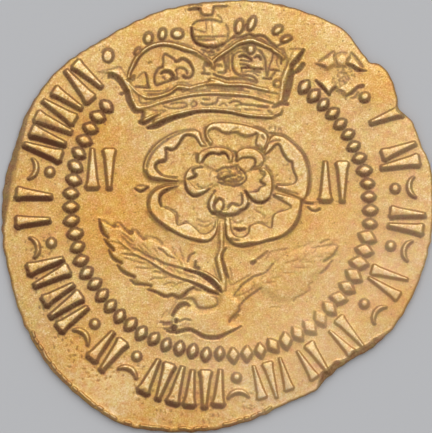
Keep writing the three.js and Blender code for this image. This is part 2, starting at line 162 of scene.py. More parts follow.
def raise_form(outline, height=1.0, foot=FOOT, shoulder=SHOULDER, shade_and_dirt=1.0, fall=BAND_FALL, die=obverse):
    """A flat-topped form within a closed outline."""
    part = window(outline, foot * LOW_SIDE + CELL)
    if die[0][part].size:
        away = nearest(part, np.vstack([outline, outline[:1]]))
        strike(part, np.where(inside(part, outline), away, -away), height, foot, shoulder, shade_and_dirt, fall, die)


def raise_line(line, half, height=1.0, foot=FOOT, shade_and_dirt=1.0, die=obverse):
    """A rounded ridge along a line, its half-width one size or a row of sizes."""
    widest = float(np.max(half))
    part = window(line, widest + foot * LOW_SIDE + CELL)
    if die[0][part].size:
        strike(part, -nearest(part, line, half), height, foot, RIDGE_ROUND * widest, shade_and_dirt, BAND_FALL, die)


def engrave(cuts, depth=0.3, width=1.0, die=obverse):
    """Fine grooves painted dark, with a burr above. Each cut is its darkness, half-widths and points."""
    for darkening, halves, points in cuts:
        line = smooth(points)
        half = width * taper(len(line), *halves)
        part = window(line, max(halves) + BURR_FROM + BURR_HALF + CELL)
        away = nearest(part, line, half)
        hollow = ((GROOVE_SPREAD - away) / GROOVE_FADE).clip(0, 1)
        slope_y, slope_x = np.gradient(away, CELL)
        above = (slope_x * UPHILL[0] + slope_y * UPHILL[1]).clip(0, 1)
        burr = (1 - np.abs(away - BURR_FROM) / BURR_HALF).clip(0, 1) * (BURR_BELOW + (1 - BURR_BELOW) * above)
        strength = min(1.0, CUT_STEEP * max(halves)) * RELIEF
        die[0][part] += strength * (BURR_HEIGHT * darkening * burr - depth * hollow)
        np.maximum(die[1][part], darkening * hollow, out=die[1][part])


def taper(count, *halves):
    """Half-widths spread evenly along a line of count points."""
    return np.interp(np.linspace(0, 1, count), np.linspace(0, 1, len(halves)), halves)


def pits(centre, spread, count, darkest, die=obverse):
    """Small pits scattered round a place, as rust on the die or grit under the strike leaves them."""
    for _ in range(count):
        place = np.array(centre) + random.normal(size=2) * spread
        dark = darkest * random.uniform(0.5, 1.0)
        engrave([(dark, (PIT_HALF,), [place, place + random.normal(size=2) * PIT_LONG])], die=die)


def oval(centre, reach, turn=0.0, count=28, pointed=1.0):
    """A closed oval outline, drawn to four points where pointed is over 1, and a lozenge at 2."""
    spin = np.radians(turn)
    unit = polar(np.arange(count) * 360 / count, 1.0)
    u, v = (np.sign(unit) * np.abs(unit) ** pointed * reach).T
    turned = [u * np.cos(spin) - v * np.sin(spin), u * np.sin(spin) + v * np.cos(spin)]
    return np.stack(turned, axis=-1) + centre


# The rose. A double heraldic rose struck in the gold, wider than it is tall: five outer petals and five inner
# ones, each a low plate with a turned-over rim whose inner edge is folded in waves, round a seeded boss.
PETAL_RIMS = [  # the outer edge of the rim, then its folded inner edge, in mm
    ([(-0.5, 3.35), (-0.72, 3.65), (-0.82, 3.98), (-1.15, 4.1), (-1.7, 4.03), (-2.3, 3.78), (-2.9, 3.33),
     (-3.32, 2.75), (-3.42, 2.2), (-3.15, 1.78), (-2.5, 1.68), (-1.85, 1.64)], [(-0.78, 3.35),
     (-1.0, 3.68), (-1.35, 3.84), (-1.62, 3.72), (-1.85, 3.35), (-2.1, 3.14), (-2.38, 3.2), (-2.36, 2.74),
     (-2.55, 2.58), (-2.85, 2.5), (-2.92, 2.28), (-2.62, 1.98), (-2.2, 1.84), (-1.85, 1.76)]),
    ([(-0.3, 3.42), (-0.52, 3.8), (-0.5, 4.18), (-0.22, 4.4), (0.3, 4.45), (1.0, 4.38), (1.7, 4.2),
     (2.22, 3.98), (2.4, 3.75), (2.32, 3.45), (2.18, 3.16)], [(-0.18, 3.5), (-0.38, 3.82), (-0.35, 4.05),
     (-0.1, 4.14), (0.15, 4.02), (0.5, 3.9), (0.85, 3.97), (1.1, 3.84), (1.35, 3.75), (1.68, 3.82),
     (1.86, 3.9), (1.84, 3.6), (1.82, 3.38), (2.05, 3.2)]),
    ([(2.25, 3.05), (2.4, 3.5), (2.65, 3.82), (3.05, 3.8), (3.52, 3.52), (3.98, 3.05), (4.25, 2.5),
     (4.36, 1.95), (4.3, 1.4), (4.18, 0.98), (3.95, 0.86), (3.4, 1.1), (2.85, 1.36)], [(2.3, 2.95),
     (2.52, 3.18), (2.76, 3.4), (2.96, 3.34), (3.06, 3.05), (3.26, 2.75), (3.5, 2.55), (3.56, 2.2),
     (3.7, 1.86), (3.64, 1.62), (3.3, 1.5), (2.8, 1.48)]),
    ([(2.75, 1.1), (3.4, 0.96), (3.88, 0.8), (3.98, 0.4), (3.88, -0.08), (3.6, -0.55), (3.15, -0.88),
     (2.55, -1.07), (1.85, -1.28), (1.2, -1.4), (0.7, -1.25), (0.44, -0.92), (0.38, -0.45), (0.4, 0.0)],
     [(2.7, 0.96), (3.1, 0.76), (3.45, 0.48), (3.15, 0.3), (2.74, 0.16), (2.6, -0.1), (2.55, -0.5),
     (2.28, -0.4), (1.9, -0.3), (1.56, -0.42), (1.5, -0.7), (1.28, -0.9), (0.95, -0.92), (0.7, -0.68),
     (0.6, -0.05)]),
    ([(-1.85, 1.5), (-2.45, 1.42), (-2.95, 1.22), (-3.22, 0.82), (-3.24, 0.38), (-3.02, -0.02),
     (-2.55, -0.42), (-1.88, -0.8), (-1.2, -1.06), (-0.6, -1.18), (-0.2, -1.0), (0.0, -0.6),
     (0.04, -0.1)], [(-1.85, 1.4), (-2.3, 1.22), (-2.62, 1.0), (-2.7, 0.65), (-2.5, 0.46), (-2.2, 0.3),
     (-1.96, 0.05), (-1.85, -0.38), (-1.5, -0.3), (-1.2, -0.36), (-0.95, -0.6), (-0.65, -0.8),
     (-0.35, -0.7), (-0.12, -0.4), (-0.06, -0.1)]),
]
CORE_RIMS = [
    ([(-0.95, 2.58), (-0.85, 2.95), (-0.5, 3.2), (0.0, 3.28), (0.45, 3.2), (0.74, 2.95), (0.72, 2.62)],
     [(-0.75, 2.56), (-0.55, 2.84), (-0.3, 3.0), (0.0, 2.92), (0.3, 3.0), (0.48, 2.84), (0.55, 2.6)]),
    ([(0.86, 2.72), (0.96, 3.05), (1.3, 3.23), (1.75, 3.18), (2.1, 2.93), (2.2, 2.6), (2.06, 2.32)],
     [(0.98, 2.62), (1.2, 2.76), (1.5, 2.77), (1.76, 2.7), (1.76, 2.45), (1.72, 2.26)]),
    ([(2.15, 2.33), (2.48, 2.0), (2.6, 1.5), (2.5, 1.0), (2.2, 0.73), (1.8, 0.73), (1.5, 1.0),
     (1.36, 1.25)], [(2.0, 2.12), (2.2, 1.95), (2.0, 1.76), (2.25, 1.52), (2.0, 1.4), (1.9, 1.2),
     (1.62, 1.24)]),
    ([(1.36, 1.12), (1.45, 0.74), (1.3, 0.36), (0.92, 0.1), (0.5, 0.02), (0.0, 0.08), (-0.3, 0.3),
     (-0.4, 0.7), (-0.2, 1.12)], [(1.14, 1.05), (1.16, 0.68), (0.96, 0.5), (0.7, 0.58), (0.5, 0.36),
     (0.28, 0.32), (0.36, 0.66), (0.1, 0.8), (-0.12, 0.62), (-0.04, 1.02)]),
    ([(-0.4, 1.25), (-0.75, 1.02), (-1.1, 0.98), (-1.4, 1.2), (-1.5, 1.6), (-1.42, 2.08), (-1.16, 2.34),
     (-0.82, 2.4)], [(-0.5, 1.36), (-0.9, 1.3), (-1.1, 1.45), (-1.33, 1.74), (-1.1, 1.9), (-1.0, 2.05),
     (-1.14, 2.16), (-0.92, 2.28)]),
]
ROSE_CENTRE = (0.58, 1.75)
PETAL_HEIGHTS = (0.3, 0.85)  # plate and rim, as shares of the relief
CORE_HEIGHTS = (0.5, 1.0)
for rims, (plate, rim_height) in ((PETAL_RIMS, PETAL_HEIGHTS), (CORE_RIMS, CORE_HEIGHTS)):
    for outer, inner in rims:
        outer_line, inner_line = smooth(outer), smooth(inner)
        raise_form(np.vstack([outer_line, [ROSE_CENTRE]]), plate, shoulder=0.12, shade_and_dirt=0.2)
        raise_form(np.vstack([outer_line, inner_line[::-1]]), rim_height, shade_and_dirt=0.2)
BOSS_CENTRE = np.array((0.64, 1.9))
raise_form(oval(BOSS_CENTRE, (0.68, 0.48), -12), 0.9, shoulder=0.3, shade_and_dirt=0.2)
PETAL_CUTS = [  # how dark, the half-widths along the cut in mm, its points in mm
    (0.6, (0.03,), [(-0.6, 3.42), (-0.7, 3.55), (-0.77, 3.8), (-0.9, 4.02), (-1.1, 4.12), (-1.5, 4.1),
     (-1.9, 4.0), (-2.3, 3.82), (-2.8, 3.5), (-3.15, 3.15), (-3.4, 2.7), (-3.47, 2.3), (-3.35, 2.0)]),
    (0.58, (0.03, 0.07, 0.08, 0.08, 0.07), [(-0.95, 4.02), (-1.3, 4.04), (-1.7, 3.95), (-2.2, 3.7),
     (-2.6, 3.43), (-3.0, 3.03), (-3.24, 2.6), (-3.32, 2.2)]),
    (0.92, (0.06, 0.09, 0.09, 0.06, 0.04), [(-3.34, 2.12), (-3.2, 1.84), (-2.9, 1.75), (-2.5, 1.7),
     (-2.1, 1.66), (-1.85, 1.65)]),
    (0.82, (0.03, 0.05, 0.07, 0.06, 0.08, 0.06, 0.11, 0.07, 0.03, 0.03), [(-0.75, 3.3), (-0.85, 3.45),
     (-1.0, 3.7), (-1.2, 3.8), (-1.45, 3.82), (-1.6, 3.7), (-1.75, 3.45), (-1.95, 3.2), (-2.15, 3.12),
     (-2.4, 3.18), (-2.38, 2.95), (-2.4, 2.7), (-2.5, 2.6), (-2.75, 2.55), (-2.88, 2.4), (-2.85, 2.2),
     (-2.6, 1.95), (-2.3, 1.85), (-1.9, 1.82)]),
    (0.55, (0.03, 0.04, 0.09, 0.1, 0.08), [(-1.9, 1.5), (-2.4, 1.45), (-2.8, 1.32), (-3.05, 1.1),
     (-3.2, 0.85), (-3.24, 0.5), (-3.14, 0.2)]),
    (0.86, (0.07, 0.08, 0.09, 0.1, 0.1, 0.08, 0.05, 0.04), [(-3.12, 0.15), (-2.8, -0.2), (-2.4, -0.5),
     (-2.0, -0.76), (-1.6, -0.98), (-1.2, -1.1), (-0.8, -1.18), (-0.45, -1.2), (-0.2, -1.05), (0.0, -0.8),
     (0.1, -0.5)]),
    (0.92, (0.04, 0.09, 0.11, 0.09, 0.07, 0.05), [(-1.85, 1.42), (-2.2, 1.32), (-2.5, 1.15), (-2.65, 1.0),
     (-2.7, 0.75), (-2.62, 0.48)]),
    (0.58, (0.04,), [(-2.62, 0.48), (-2.4, 0.42), (-2.1, 0.3), (-1.9, 0.15), (-1.85, -0.15),
     (-1.85, -0.4), (-1.6, -0.33), (-1.45, -0.25), (-1.2, -0.4), (-0.95, -0.6), (-0.75, -0.8),
     (-0.5, -0.8), (-0.25, -0.65), (-0.05, -0.35), (0.0, -0.1)]),
    (0.42, (0.03,), [(-0.92, -0.12), (-0.6, -0.27), (-0.36, -0.22)]),
    (0.42, (0.03,), [(-0.9, -0.38), (-0.55, -0.5), (-0.25, -0.3)]),
    (0.5, (0.05, 0.07, 0.07, 0.07), [(-0.5, 3.55), (-0.58, 3.85), (-0.58, 4.1), (-0.45, 4.3),
     (-0.2, 4.42), (0.3, 4.44), (1.0, 4.38), (1.5, 4.3), (2.0, 4.12), (2.3, 3.95), (2.42, 3.72)]),
    (0.65, (0.03, 0.05, 0.05, 0.04), [(-0.2, 3.5), (-0.4, 3.8), (-0.4, 4.0), (-0.15, 4.14), (0.05, 4.1),
     (0.25, 3.95), (0.6, 3.92), (0.95, 3.96), (1.1, 3.85), (1.4, 3.78), (1.7, 3.82), (1.85, 3.9),
     (1.92, 3.8), (1.82, 3.5), (1.86, 3.36)]),
    (0.5, (0.04,), [(0.62, 3.95), (0.75, 4.08), (0.95, 4.14)]),
    (0.7, (0.06, 0.03), [(2.12, 3.78), (2.2, 3.62)]),
    (0.65, (0.04,), [(1.9, 3.32), (2.05, 3.3), (2.18, 3.14), (2.34, 3.28), (2.42, 3.45), (2.7, 3.56),
     (2.95, 3.56)]),
    (0.52, (0.05, 0.06, 0.08, 0.1, 0.1, 0.07), [(2.5, 3.9), (2.9, 3.84), (3.2, 3.74), (3.6, 3.42),
     (4.0, 3.0), (4.2, 2.6), (4.3, 2.2), (4.34, 1.7), (4.3, 1.2), (4.24, 1.0)]),
    (0.72, (0.03, 0.06, 0.07, 0.05, 0.04, 0.03), [(2.25, 2.9), (2.5, 3.05), (2.7, 3.28), (2.85, 3.38),
     (2.95, 3.3), (3.05, 3.05), (3.2, 2.8), (3.35, 2.6), (3.52, 2.55), (3.55, 2.3), (3.65, 2.0),
     (3.75, 1.75), (3.6, 1.55), (3.2, 1.47), (2.85, 1.5), (2.75, 1.3)]),
    (0.35, (0.03,), [(2.65, 1.65), (2.9, 1.66), (3.15, 1.6)]),
    (0.6, (0.04,), [(2.9, 1.32), (3.3, 1.2), (3.8, 1.05)]),
    (0.92, (0.06, 0.03), [(2.65, 1.0), (2.9, 0.9), (3.1, 0.84)]),
    (0.55, (0.03,), [(3.55, 0.98), (3.9, 0.8), (4.15, 0.76)]),
    (0.6, (0.04,), [(2.66, 0.9), (3.0, 0.75), (3.3, 0.6), (3.48, 0.45), (3.3, 0.33), (2.9, 0.22),
     (2.7, 0.1), (2.6, -0.1), (2.57, -0.5), (2.4, -0.5), (2.2, -0.35), (2.0, -0.28), (1.75, -0.35),
     (1.5, -0.5), (1.48, -0.75), (1.3, -0.93), (1.0, -0.97), (0.75, -0.8), (0.65, -0.5)]),
    (0.86, (0.06, 0.08, 0.1, 0.08, 0.06, 0.07, 0.1, 0.14, 0.13, 0.1, 0.06, 0.04), [(4.0, 0.72),
     (3.92, 0.3), (3.82, -0.1), (3.65, -0.42), (3.4, -0.7), (3.1, -0.92), (2.8, -1.05), (2.4, -1.15),
     (2.0, -1.3), (1.5, -1.35), (1.1, -1.4), (0.8, -1.34), (0.6, -1.15), (0.42, -0.9), (0.38, -0.4)]),
    (0.85, (0.05, 0.1, 0.06), [(0.82, -0.58), (1.05, -0.64), (1.3, -0.6)]),
    (0.7, (0.06,), [(0.66, -1.06), (0.85, -1.12), (1.0, -1.12)]),
    (0.45, (0.03,), [(0.7, -0.14), (0.92, -0.32), (1.22, -0.2)]),
    (0.4, (0.03,), [(1.8, 0.3), (2.05, 0.15), (2.25, 0.02)]),
]
CORE_CUTS = [
    (0.5, (0.04,), [(-0.66, 3.05), (-0.3, 3.24), (0.1, 3.28), (0.5, 3.2), (0.78, 3.04)]),
    (0.6, (0.08, 0.1, 0.06), [(-0.95, 2.9), (-0.93, 2.72), (-0.95, 2.55)]),
    (0.95, (0.06, 0.08, 0.09, 0.07, 0.1, 0.07, 0.05), [(-0.7, 2.56), (-0.55, 2.8), (-0.35, 2.95),
     (-0.1, 2.97), (0.1, 2.92), (0.3, 3.0), (0.46, 2.9), (0.56, 2.68)]),
    (0.6, (0.03,), [(0.62, 3.0), (0.72, 2.8), (0.68, 2.6)]),
    (0.8, (0.06, 0.09, 0.05), [(0.86, 3.0), (0.92, 2.82), (0.9, 2.6)]),
    (0.52, (0.04,), [(0.95, 3.05), (1.2, 3.2), (1.6, 3.25), (2.0, 3.1), (2.2, 2.9), (2.27, 2.6)]),
    (0.76, (0.05, 0.05, 0.07, 0.05), [(0.95, 2.58), (1.1, 2.72), (1.4, 2.77), (1.7, 2.75), (1.8, 2.6),
     (1.76, 2.4), (1.6, 2.2)]),
    (0.75, (0.04, 0.06), [(1.78, 2.32), (1.98, 2.38), (2.12, 2.52)]),
    (0.52, (0.05,), [(2.3, 2.35), (2.5, 2.1), (2.62, 1.7), (2.62, 1.3), (2.52, 0.95)]),
    (0.92, (0.06, 0.09, 0.1, 0.1, 0.06), [(1.35, 1.15), (1.5, 0.95), (1.7, 0.75), (1.95, 0.65),
     (2.2, 0.68), (2.46, 0.85)]),
    (0.76, (0.05, 0.06, 0.05), [(2.0, 2.15), (2.2, 2.1), (2.25, 1.95), (2.1, 1.75), (2.05, 1.6),
     (2.28, 1.48), (2.05, 1.38), (1.9, 1.2), (1.5, 1.15), (1.3, 1.2)]),
    (0.5, (0.03,), [(1.88, 0.84), (2.05, 0.86), (2.22, 0.93)]),
    (0.75, (0.04, 0.06, 0.08), [(-0.1, 1.2), (-0.3, 0.9), (-0.42, 0.6), (-0.35, 0.3), (-0.18, 0.14)]),
    (0.92, (0.1, 0.11, 0.08, 0.09, 0.06), [(-0.2, 0.16), (0.1, 0.12), (0.5, 0.06), (0.9, 0.12),
     (1.1, 0.28), (1.35, 0.38), (1.48, 0.58)]),
    (0.72, (0.06, 0.05), [(1.14, 1.08), (1.2, 0.75), (1.1, 0.52), (0.9, 0.55), (0.7, 0.6), (0.5, 0.44)]),
    (0.82, (0.05, 0.06, 0.08, 0.06), [(0.1, 0.84), (0.28, 0.72), (0.3, 0.45), (0.15, 0.22), (-0.05, 0.24),
     (-0.15, 0.45), (-0.05, 0.7), (0.1, 0.84)]),
    (0.5, (0.035,), [(-0.8, 2.4), (-1.1, 2.35), (-1.35, 2.2), (-1.52, 1.95), (-1.54, 1.65)]),
    (0.92, (0.06, 0.09, 0.1, 0.11, 0.08, 0.05), [(-1.5, 1.6), (-1.44, 1.3), (-1.3, 1.1), (-1.1, 0.98),
     (-0.9, 1.0), (-0.6, 1.12), (-0.38, 1.27)]),
    (0.86, (0.04, 0.07, 0.08, 0.09, 0.05), [(-0.7, 2.3), (-1.0, 2.28), (-1.15, 2.2), (-1.1, 2.05),
     (-1.0, 1.92), (-1.2, 1.8), (-1.42, 1.74)]),
    (0.5, (0.035,), [(-0.95, 1.5), (-0.8, 1.36), (-0.5, 1.38), (-0.22, 1.52)]),
]
BOSS_CUTS = [
    (0.8, (0.045,), [(-0.02, 2.12), (0.3, 2.28), (0.6, 2.3), (0.9, 2.36), (1.12, 2.22), (1.32, 2.0),
     (1.36, 1.72), (1.12, 1.5), (0.8, 1.4)]),
    (0.85, (0.05, 0.08, 0.05), [(0.0, 1.84), (0.12, 1.74), (0.3, 1.76), (0.5, 1.86), (0.85, 1.92)]),
    (0.72, (0.03,), [(0.2, 2.06), (0.5, 2.12), (0.85, 2.02), (1.1, 2.06)]),
    (0.72, (0.035,), [(0.05, 1.62), (0.3, 1.5), (0.6, 1.46), (0.8, 1.4)]),
    (0.72, (0.035,), [(0.25, 1.6), (0.5, 1.66), (0.75, 1.6), (1.05, 1.66), (1.25, 1.84)]),
    (0.66, (0.035,), [(0.55, 1.75), (0.9, 1.76), (1.15, 1.9)]),
    (0.72, (0.03,), [(0.9, 2.3), (1.0, 2.1), (1.15, 1.95)]),
    (0.66, (0.035,), [(0.45, 2.28), (0.6, 2.12), (0.62, 1.95)]),
]
BARB_CUTS = [
    (1.0, (0.05, 0.08, 0.06), [(-3.85, 1.3), (-3.65, 1.18), (-3.5, 1.2), (-3.25, 1.36)]),
    (0.7, (0.035,), [(-3.82, 1.42), (-3.55, 1.46), (-3.3, 1.4)]),
    (1.0, (0.05, 0.07), [(4.12, 0.64), (4.4, 0.6), (4.8, 0.6)]),
    (1.0, (0.05, 0.06), [(4.28, 0.42), (4.45, 0.28), (4.65, 0.26), (4.82, 0.34)]),
    (0.55, (0.035,), [(2.45, 4.12), (2.58, 4.3), (2.72, 4.24), (2.74, 4.02)]),
    (0.5, (0.03,), [(2.86, 4.0), (2.95, 4.16), (3.02, 3.96)]),
]
engrave(PETAL_CUTS + CORE_CUTS + BOSS_CUTS + BARB_CUTS, width=0.85)
PETAL_HOLLOWS = [(-1.5, 2.7), (0.9, 3.6), (2.9, 2.3), (1.9, 0.1), (-1.3, 0.4)]
for hollow in PETAL_HOLLOWS:
    pits(hollow, (0.5, 0.32), 9, 0.42)
pits(BOSS_CENTRE, (0.34, 0.22), 64, 0.85)

# The stalk and leaves. A short slip cut below the rose, its end torn, with a sharp toothed leaf on the left
# and a leaf on the right that is worn almost flat. The veins were cut into the die one by one.
STALK = [(0.2, -0.3), (0.2, -1.3), (0.08, -1.8), (0.08, -2.0), (0.2, -2.5), (0.3, -2.9), (0.3, -3.4)]
raise_line(smooth(STALK), 0.14, 0.6, shade_and_dirt=0.2)
SLIP = [
    (0.15, -3.3), (0.8, -3.7), (1.2, -4.05), (1.05, -4.4), (0.65, -4.9), (1.1, -5.2), (0.5, -5.45),
    (-0.1, -5.62), (-0.75, -5.52), (-1.35, -5.25), (-2.0, -5.35), (-2.2, -5.0), (-2.1, -4.6),
    (-1.75, -4.2), (-1.35, -4.1), (-1.1, -4.2), (-0.8, -4.4), (-0.3, -4.3), (0.05, -4.0),
]
raise_form(smooth(SLIP, closed=True), 0.4, shoulder=0.25, shade_and_dirt=0.1)
LOBE = [
    (-1.9, -3.9), (-1.2, -3.86), (-1.05, -4.0), (-0.9, -4.25), (-0.7, -4.3), (-0.3, -4.28), (0.0, -4.14),
    (0.03, -3.95), (-0.2, -3.6), (-1.1, -3.5),
]
raise_form(smooth(LOBE, closed=True), 0.45, shoulder=0.15, shade_and_dirt=0.1)
LEFT_LEAF = [
    (-5.55, -0.15), (-5.2, -0.22), (-4.85, -0.45), (-4.72, -0.3), (-4.2, -0.7), (-4.05, -0.8),
    (-3.92, -0.58), (-3.45, -1.04), (-3.25, -0.9), (-2.55, -1.28), (-2.2, -1.45), (-1.9, -1.8),
    (-1.3, -2.1), (-1.0, -2.45), (-0.3, -2.8), (0.2, -3.4), (-0.6, -3.5), (-1.05, -3.35), (-1.4, -3.5),
    (-1.7, -3.72), (-2.1, -3.66), (-2.4, -3.72), (-2.7, -3.6), (-3.2, -3.42), (-3.1, -3.22),
    (-3.6, -3.14), (-3.98, -2.98), (-3.88, -2.8), (-4.25, -2.64), (-4.62, -2.32), (-4.48, -2.14),
    (-4.95, -1.84), (-5.02, -1.6), (-4.88, -1.5), (-5.2, -1.12), (-5.12, -0.95), (-5.4, -0.5),
]
raise_form(np.array(LEFT_LEAF), 0.6, shoulder=0.14, shade_and_dirt=0.15)
RIGHT_LEAF = [
    (0.8, -3.65), (1.0, -3.32), (1.6, -2.9), (2.2, -2.65), (2.6, -2.2), (3.1, -1.75), (3.9, -1.45),
    (4.9, -1.42), (5.68, -1.4), (5.45, -1.85), (5.05, -2.1), (5.3, -2.25), (4.9, -2.65), (4.5, -2.95),
    (4.3, -3.4), (3.6, -3.9), (2.8, -3.9), (2.0, -3.4), (1.5, -3.75), (1.1, -4.2),
]
raise_form(smooth(RIGHT_LEAF, closed=True), 0.25, shoulder=0.3, shade_and_dirt=0.1)
LEFT_RIB = [
    (-0.1, -3.42), (-0.8, -3.1), (-1.5, -2.88), (-2.2, -2.62), (-2.8, -2.26), (-3.4, -1.95), (-4.0, -1.6),
    (-4.6, -1.1),
]
LEFT_SPUR = [(-1.2, -2.5), (-0.6, -2.66), (-0.1, -2.95), (0.15, -3.2)]
RIGHT_RIB = [(1.2, -3.5), (2.2, -3.0), (3.2, -2.5), (4.2, -2.0), (5.2, -1.6)]
for rib in (LEFT_RIB, LEFT_SPUR):
    raise_line(smooth(rib), 0.08, 0.85, shade_and_dirt=0.2)
VEIN_CUTS = []
for rib, darkening, first in ((smooth(LEFT_RIB), 0.42, 12), (smooth(RIGHT_RIB), 0.26, 4)):
    for n in range(first, len(rib) - 1, 3):
        for side in (-1, 1):
            lean = math.atan2(*(rib[n + 1] - rib[n])[::-1]) + side * math.radians(random.uniform(16, 30))
            reach = np.array((math.cos(lean), math.sin(lean))) * random.uniform(0.4, 0.75)
            foot_of_vein = rib[n] + 0.35 * reach
            bend = foot_of_vein + 0.5 * reach + (0, 0.02 * side)
            VEIN_CUTS.append((darkening, (0.02, 0.035, 0.02), [foot_of_vein, bend, foot_of_vein + reach]))
STALK_CUTS = [
    (0.6, (0.04, 0.05, 0.06), [(0.14, -1.15), (0.12, -1.5), (0.0, -1.85), (-0.08, -2.0), (-0.05, -2.2),
     (0.02, -2.5), (0.1, -2.75), (0.16, -2.98)]),
    (0.5, (0.03,), [(-0.14, -2.4), (-0.06, -2.7), (0.04, -2.92)]),
    (0.45, (0.03,), [(0.5, -2.75), (0.55, -3.0), (0.66, -3.22), (1.0, -3.06), (1.6, -2.72)]),
    (0.78, (0.04, 0.05, 0.05, 0.09, 0.06), [(0.42, -1.5), (0.28, -1.75), (0.25, -2.0), (0.33, -2.3),
     (0.4, -2.6), (0.5, -2.85)]),
    (0.4, (0.03,), [(0.6, -2.4), (0.68, -2.7), (0.72, -3.0)]),
    (0.4, (0.03,), [(0.4, -0.4), (0.38, -0.9), (0.3, -1.4)]),
    (0.55, (0.035,), [(-1.95, -3.92), (-1.5, -3.87), (-1.2, -3.86), (-1.05, -4.0), (-0.9, -4.25),
     (-0.7, -4.32), (-0.3, -4.3), (0.0, -4.15), (0.03, -3.95), (-0.1, -3.8), (-0.3, -3.72)]),
    (0.82, (0.07, 0.08, 0.12, 0.1, 0.05), [(-2.1, -4.65), (-1.95, -4.4), (-1.75, -4.2), (-1.5, -4.12),
     (-1.3, -4.2)]),
    (1.0, (0.12, 0.12), [(-1.93, -4.94), (-1.92, -4.9)]),
    (1.0, (0.17, 0.17), [(-2.04, -5.27), (-2.02, -5.22)]),
    (0.75, (0.05,), [(-2.65, -4.97), (-2.4, -5.0), (-2.1, -4.98)]),
    (0.8, (0.05,), [(-2.75, -5.28), (-2.4, -5.28), (-2.1, -5.24)]),
    (0.6, (0.05, 0.03), [(-2.55, -5.1), (-2.3, -5.08), (-2.1, -5.1)]),
    (0.7, (0.05, 0.04), [(-1.76, -4.94), (-1.5, -4.84), (-1.25, -4.88)]),
    (0.4, (0.03,), [(-2.6, -4.75), (-2.45, -4.5), (-2.3, -4.4)]),
    (0.4, (0.03,), [(-2.3, -4.6), (-2.1, -4.3), (-1.95, -4.05)]),
    (0.9, (0.06, 0.1, 0.09, 0.09, 0.1, 0.11, 0.1, 0.08, 0.06, 0.03), [(-2.35, -5.38), (-2.0, -5.46),
     (-1.6, -5.38), (-1.3, -5.33), (-1.0, -5.45), (-0.7, -5.62), (-0.4, -5.7), (0.0, -5.7), (0.3, -5.6),
     (0.5, -5.5), (0.8, -5.36), (1.12, -5.18)]),
    (0.62, (0.05, 0.06, 0.04, 0.05, 0.05), [(0.6, -4.96), (0.7, -4.75), (0.95, -4.55), (1.05, -4.4),
     (1.04, -4.25), (1.2, -4.05), (1.35, -3.9), (1.6, -3.7), (1.9, -3.5), (2.06, -3.38)]),
    (0.4, (0.09, 0.04), [(0.76, -4.82), (1.0, -4.66)]),
]
